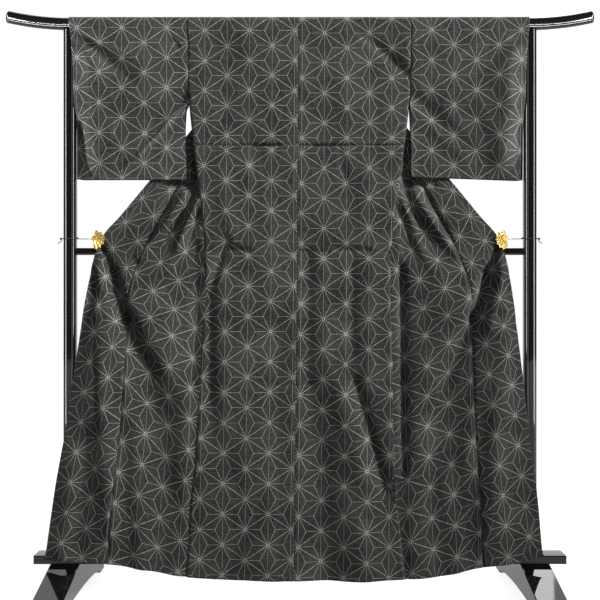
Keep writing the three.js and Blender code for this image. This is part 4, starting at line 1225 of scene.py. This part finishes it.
def fan_piece(name, side):
    """The ribbed fan: eight ribs that spread from the root, with a groove between each two."""
    angles = np.linspace(CLIP_RAYS["angle"][0], CLIP_RAYS["angle"][-1], 129)
    keys = CLIP_RAYS["angle"][::-1]
    edge = np.interp(angles, keys, CLIP_RAYS["radius"][::-1])
    number = np.interp(angles, keys, np.arange(len(keys)))
    crest = 0.5 + 0.5 * np.cos(math.pi * number)
    share = np.linspace(0.06, 1, 26)
    theta = np.radians(angles)[None, :]
    radius = share[:, None] * (edge + 0.9 * crest)[None, :]
    x = side * (CLIP_ROOT[0] - radius * np.cos(theta))
    z = CLIP_ROOT[1] + radius * np.sin(theta)
    spread = ease(share / 0.45)[:, None] * (1 - 0.5 * ease((share - 0.9) / 0.1))[:, None]
    rings = 0.15 * np.sin(share * 26)[:, None] * ease((share - 0.3) / 0.2)[:, None]
    front = CLIP_FRONT_Y - 1.9 + 1.6 * (1 - crest[None, :]) * spread - rings
    back = np.full_like(front, CLIP_FRONT_Y)
    vertices = np.concatenate([np.stack([x, y, z], -1).reshape(-1, 3) for y in (front, back)])
    faces = shell_faces(*front.shape)
    if signed_volume(vertices, faces) < 0:
        faces = faces[:, ::-1]
    return new_object(name, vertices, faces.tolist())


def clip_pieces(name, side):
    """side is -1 for the clip at the left, whose tables are measured to the right of x 0."""
    fan = fan_piece(f"clip_{name}_fan", side)
    finish_piece(fan, gold, "gold", f"clip_{name}")
    parts = (
        ("tab", CLIP_TAB, CLIP_FRONT_Y - 1.0, CLIP_FRONT_Y, 2.6, enamel),
        ("cover", CLIP_COVER, CLIP_FRONT_Y - 1.8, CLIP_FRONT_Y, 5, gold),
        ("bow", CLIP_BOW, CLIP_FRONT_Y - 1.5, CLIP_BACK_Y + CLIP_JAW, 1.2, gold),
        ("grip", CLIP_GRIP, CLIP_BACK_Y, CLIP_BACK_Y + CLIP_JAW, 1.2, gold),
    )
    for part, (from_x, to_x, bottom, top), ya, yb, radius, material in parts:
        outline = rounded_outline(from_x - to_x, top - bottom, radius, 6)
        cx, cz = side * (from_x + to_x) / 2, (bottom + top) / 2
        piece = prism(f"clip_{name}_{part}", outline, ya, yb,
                      lambda a, b, t, cx=cx, cz=cz: (cx + a, t, cz + b), 0.35)
        piece.parent = fan
        finish_piece(piece, material, "gold")
    turn = np.linspace(0, 2 * math.pi, 40)
    ring_x, ring_z, ring_radius, wire = CLIP_RING
    centre = np.array([side * (ring_x - RING_INSET), CLIP_FRONT_Y + RING_DEPTH, ring_z])
    circle = centre + ring_radius * np.stack([np.cos(turn), np.sin(turn), 0 * turn], -1)
    ring = tube(f"clip_{name}_ring", circle, np.full(len(turn), wire), 12)
    ring.parent = fan
    finish_piece(ring, gold, "gold")


def smooth_line(points, count):
    """Evenly spaced points on the curve through some points."""
    points = np.asarray(points, float)
    run = run_along(points)
    lines = {"at": run, "x": points[:, 0], "y": points[:, 1], "z": points[:, 2]}
    at = np.linspace(0, run[-1], count)
    return np.stack([track(lines, "at", c, at) for c in "xyz"], -1)


def string_line():
    """From the clip's ring round the post, in one turn that climbs a little."""
    out = STRING_RADIUS + STRING_STAND_OFF
    x, d = POST_WIDTH / 2 + out, POST_DEPTH / 2 + out
    cut = STRING_CORNER
    start = -CLIP_RING[0] - CLIP_RING[2] - CLIP_RING[3] - STRING_RADIUS
    turn = ((x - cut, -d, 0.6), (0, -d, 1.2), (-x + cut, -d, 1.8), (-x, -d + cut, 2.2),
            (-x, d - cut, 2.8), (-x + cut, d, 3.2), (0, d, 3.6), (x - cut, d, 4),
            (x, d - cut, 4.4), (x, -d + cut, 4.8))
    return [(start, CLIP_FRONT_Y + RING_DEPTH, CLIP_RING[1]),
            *((-POST_X + a, b, CLIP_RING[1] + c) for a, b, c in turn)]


def twisted(name, line, side, ply=0.68, pitch=5.0):
    """Two plies wound round each other along a line."""
    line = line * (-side, 1, 1)
    run = run_along(line)
    along = unit(np.gradient(line, axis=0))
    up = np.tile([0.0, 0.0, 1.0], (len(line), 1))
    up = unit(up - along * (along * up).sum(1, keepdims=True))
    other = np.cross(along, up)
    plies = []
    for start in (0, math.pi):
        turn = (run / pitch * 2 * math.pi + start)[:, None]
        path = line + 0.5 * (up * np.cos(turn) + other * np.sin(turn))
        plies.append(tube(f"{name}_ply_{len(plies)}", path, np.full(len(path), ply), 8))
    return plies


def knot_line(centre):
    """A small overhand knot with a short tail that hangs from it."""
    t = np.linspace(0, 2 * math.pi, 40)
    loop = np.stack([2.3 * np.cos(t) + 0.8 * np.cos(2 * t), -0.9 + 1.1 * np.sin(3 * t),
                     2.3 * np.sin(t) - 0.8 * np.sin(2 * t)], -1)
    tail = np.array([(2.0, -1.6, -2.4), (0.5, -1.4, -6.5), (-3.5, -1.2, -10.5), (-9, -1.0, -12.5)])
    return np.concatenate([loop, tail]) + centre


for name, side in (("left", -1), ("right", 1)):
    clip_pieces(name, side)
    plies = twisted(f"string_{name}", smooth_line(string_line(), 220), side)
    knot_at = (-POST_X - POST_WIDTH / 2 - 3, -POST_DEPTH / 2 - 2.5, CLIP_RING[1] + 0.5)
    knot = knot_line(np.array(knot_at)) * (-side, 1, 1)
    plies.append(tube(f"string_{name}_knot", smooth_line(knot, 120), np.full(120, 1.15), 8))
    finish_piece(plies[0], cord, "string", f"string_{name}")
    for other in plies[1:]:
        other.parent = plies[0]
        finish_piece(other, cord, "string")


# ---- floor, lights and backdrop ----
FLOOR_HALF = 9000
floor_corners = [(x * FLOOR_HALF, y * FLOOR_HALF, 0) for x, y in ((-1, -1), (1, -1), (1, 1), (-1, 1))]
floor = new_object("floor", floor_corners, [[0, 1, 2, 3]], smooth=False)
floor.data.materials.append(floor_material())
floor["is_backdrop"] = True


KEY_TILT = math.radians(65)
KEY_AZIMUTH = math.radians(62)
KEY_SOFTNESS = math.radians(16)
KEY_CENTRE = np.array([0, 0, 1.9])      # the spot shines on the upper part of the garment
KEY_DISTANCE = 10


def new_light(name, kind, power):
    data = bpy.data.lights.new(name, kind)
    data.energy = power
    light = bpy.data.objects.new(name, data)
    bpy.context.scene.collection.objects.link(light)
    return light


def area_light(name, place, aim, size, power):
    light = new_light(name, "AREA", power)
    light.data.shape = "RECTANGLE"
    light.data.size, light.data.size_y = size
    light.location = place
    direction = np.array(aim, float) - np.array(place, float)
    tilt = math.atan2(math.hypot(direction[0], direction[1]), -direction[2])
    light.rotation_euler = (tilt, 0, -math.atan2(direction[0], direction[1]))
    return light


def key_light(name, kind, power):
    light = new_light(name, kind, power)
    light.rotation_euler = (KEY_TILT, 0, KEY_AZIMUTH)
    return light


def shine_on(name, lights, pieces):
    """Lets some lights fall on some pieces alone."""
    group = bpy.data.collections.new(name)
    for piece in pieces:
        group.objects.link(piece)
    for light in lights:
        light.light_linking.receiver_collection = group


# The key light is a sun and, from the same side, a spot that leaves the lower skirt darker
sun = key_light("key_right", "SUN", 2.4)
floor_sun = key_light("key_floor", "SUN", 6.0)
sun.data.angle = floor_sun.data.angle = KEY_SOFTNESS
upper = key_light("key_upper", "SPOT", 6100)
upper.data.shadow_soft_size = 1.4
upper.data.spot_size = math.radians(17)
upper.data.spot_blend = 0.3
towards_key = np.array([math.sin(KEY_TILT) * math.sin(KEY_AZIMUTH),
                        -math.sin(KEY_TILT) * math.cos(KEY_AZIMUTH), math.cos(KEY_TILT)])
upper.location = KEY_CENTRE + KEY_DISTANCE * towards_key
area_light("fill_left", (-3.0, -2.2, 1.8), (0, 0, 0.95), (1.2, 1.6), 6)
area_light("key_above", (0.2, -1.9, 3.9), (0, 0, 1.1), (1.2, 0.7), 10)
key_middle = area_light("key_middle", (0.5, -2.4, 1.4), (-0.08, 0, 0.98), (0.5, 0.5), 1.5)
key_middle.data.spread = math.radians(75)
area_light("back_above", (0.6, 2.8, 3.0), (0, 0, 0.8), (2.6, 1.6), 45)
clip_light = area_light("clip_light", (0.1, -2.5, 1.7), (0, 0, 1.0), (2.2, 1.4), 27)

strips = [area_light(f"strip_{name}", (x, -2.9, 1.2), (x * 0.3, 0, 1.15), (0.3, 4.0), power)
          for name, x, power in (("far_left", -2.35, 115), ("left", -0.66, 9),
                                 ("right", 0.66, 9), ("far_right", 2.35, 115))]
rod_strips = [area_light(f"rod_strip_{name}", (0, y, z), (0, 0, ROD_AXIS_Z / 1000), (5, 0.06), power)
              for name, y, z, power in (("far", -2.6, 0.14, 120), ("near", -0.65, 0.3, 60))]
for strip in rod_strips:
    strip.visible_camera = False

rod = bpy.data.objects["rod_turned"]
shiny = [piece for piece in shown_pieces() if piece.name.endswith("_lacquered") or piece == rod]
shine_on("lit_by_key", (sun, upper, key_middle), [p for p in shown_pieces() if p not in shiny])
shine_on("lit_by_key_floor", (floor_sun,), [floor])
shine_on("lit_by_strips", strips, shiny)
shine_on("lit_by_rod_strips", rod_strips, [rod])
shine_on("lit_by_clip_light", (clip_light,), [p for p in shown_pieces() if p.name.startswith("clip_")])
for name, side, power in (("left", -1, 230), ("right", 1, 110)):
    grazing = area_light(f"cuff_light_{name}", (side * 3.0, -0.16, 1.4), (side * 0.5, 0, 1.38),
                         (0.1, 0.8), power)
    shine_on(f"lit_by_{name}_cuff_light", (grazing,), [bpy.data.objects[f"sleeve_{name}_back_cloth"]])

world = bpy.data.worlds.new("studio")
sky = Shader(world, "Background")
across_sky = sky.node("SeparateXYZ", {0: sky.node("TexCoord").outputs["Generated"]})
behind = sky.fade(across_sky.outputs["Y"], 0.0, 0.5, 0.04, 1.0)
shown = sky.math("MAXIMUM", sky.node("LightPath").outputs["Is Camera Ray"], behind)
sky.put(sky.surface.inputs["Strength"], shown)
sky.put(sky.surface.inputs["Color"], (1, 1, 1, 1))
bpy.context.scene.world = world
bpy.context.scene.view_settings.view_transform = "Standard"
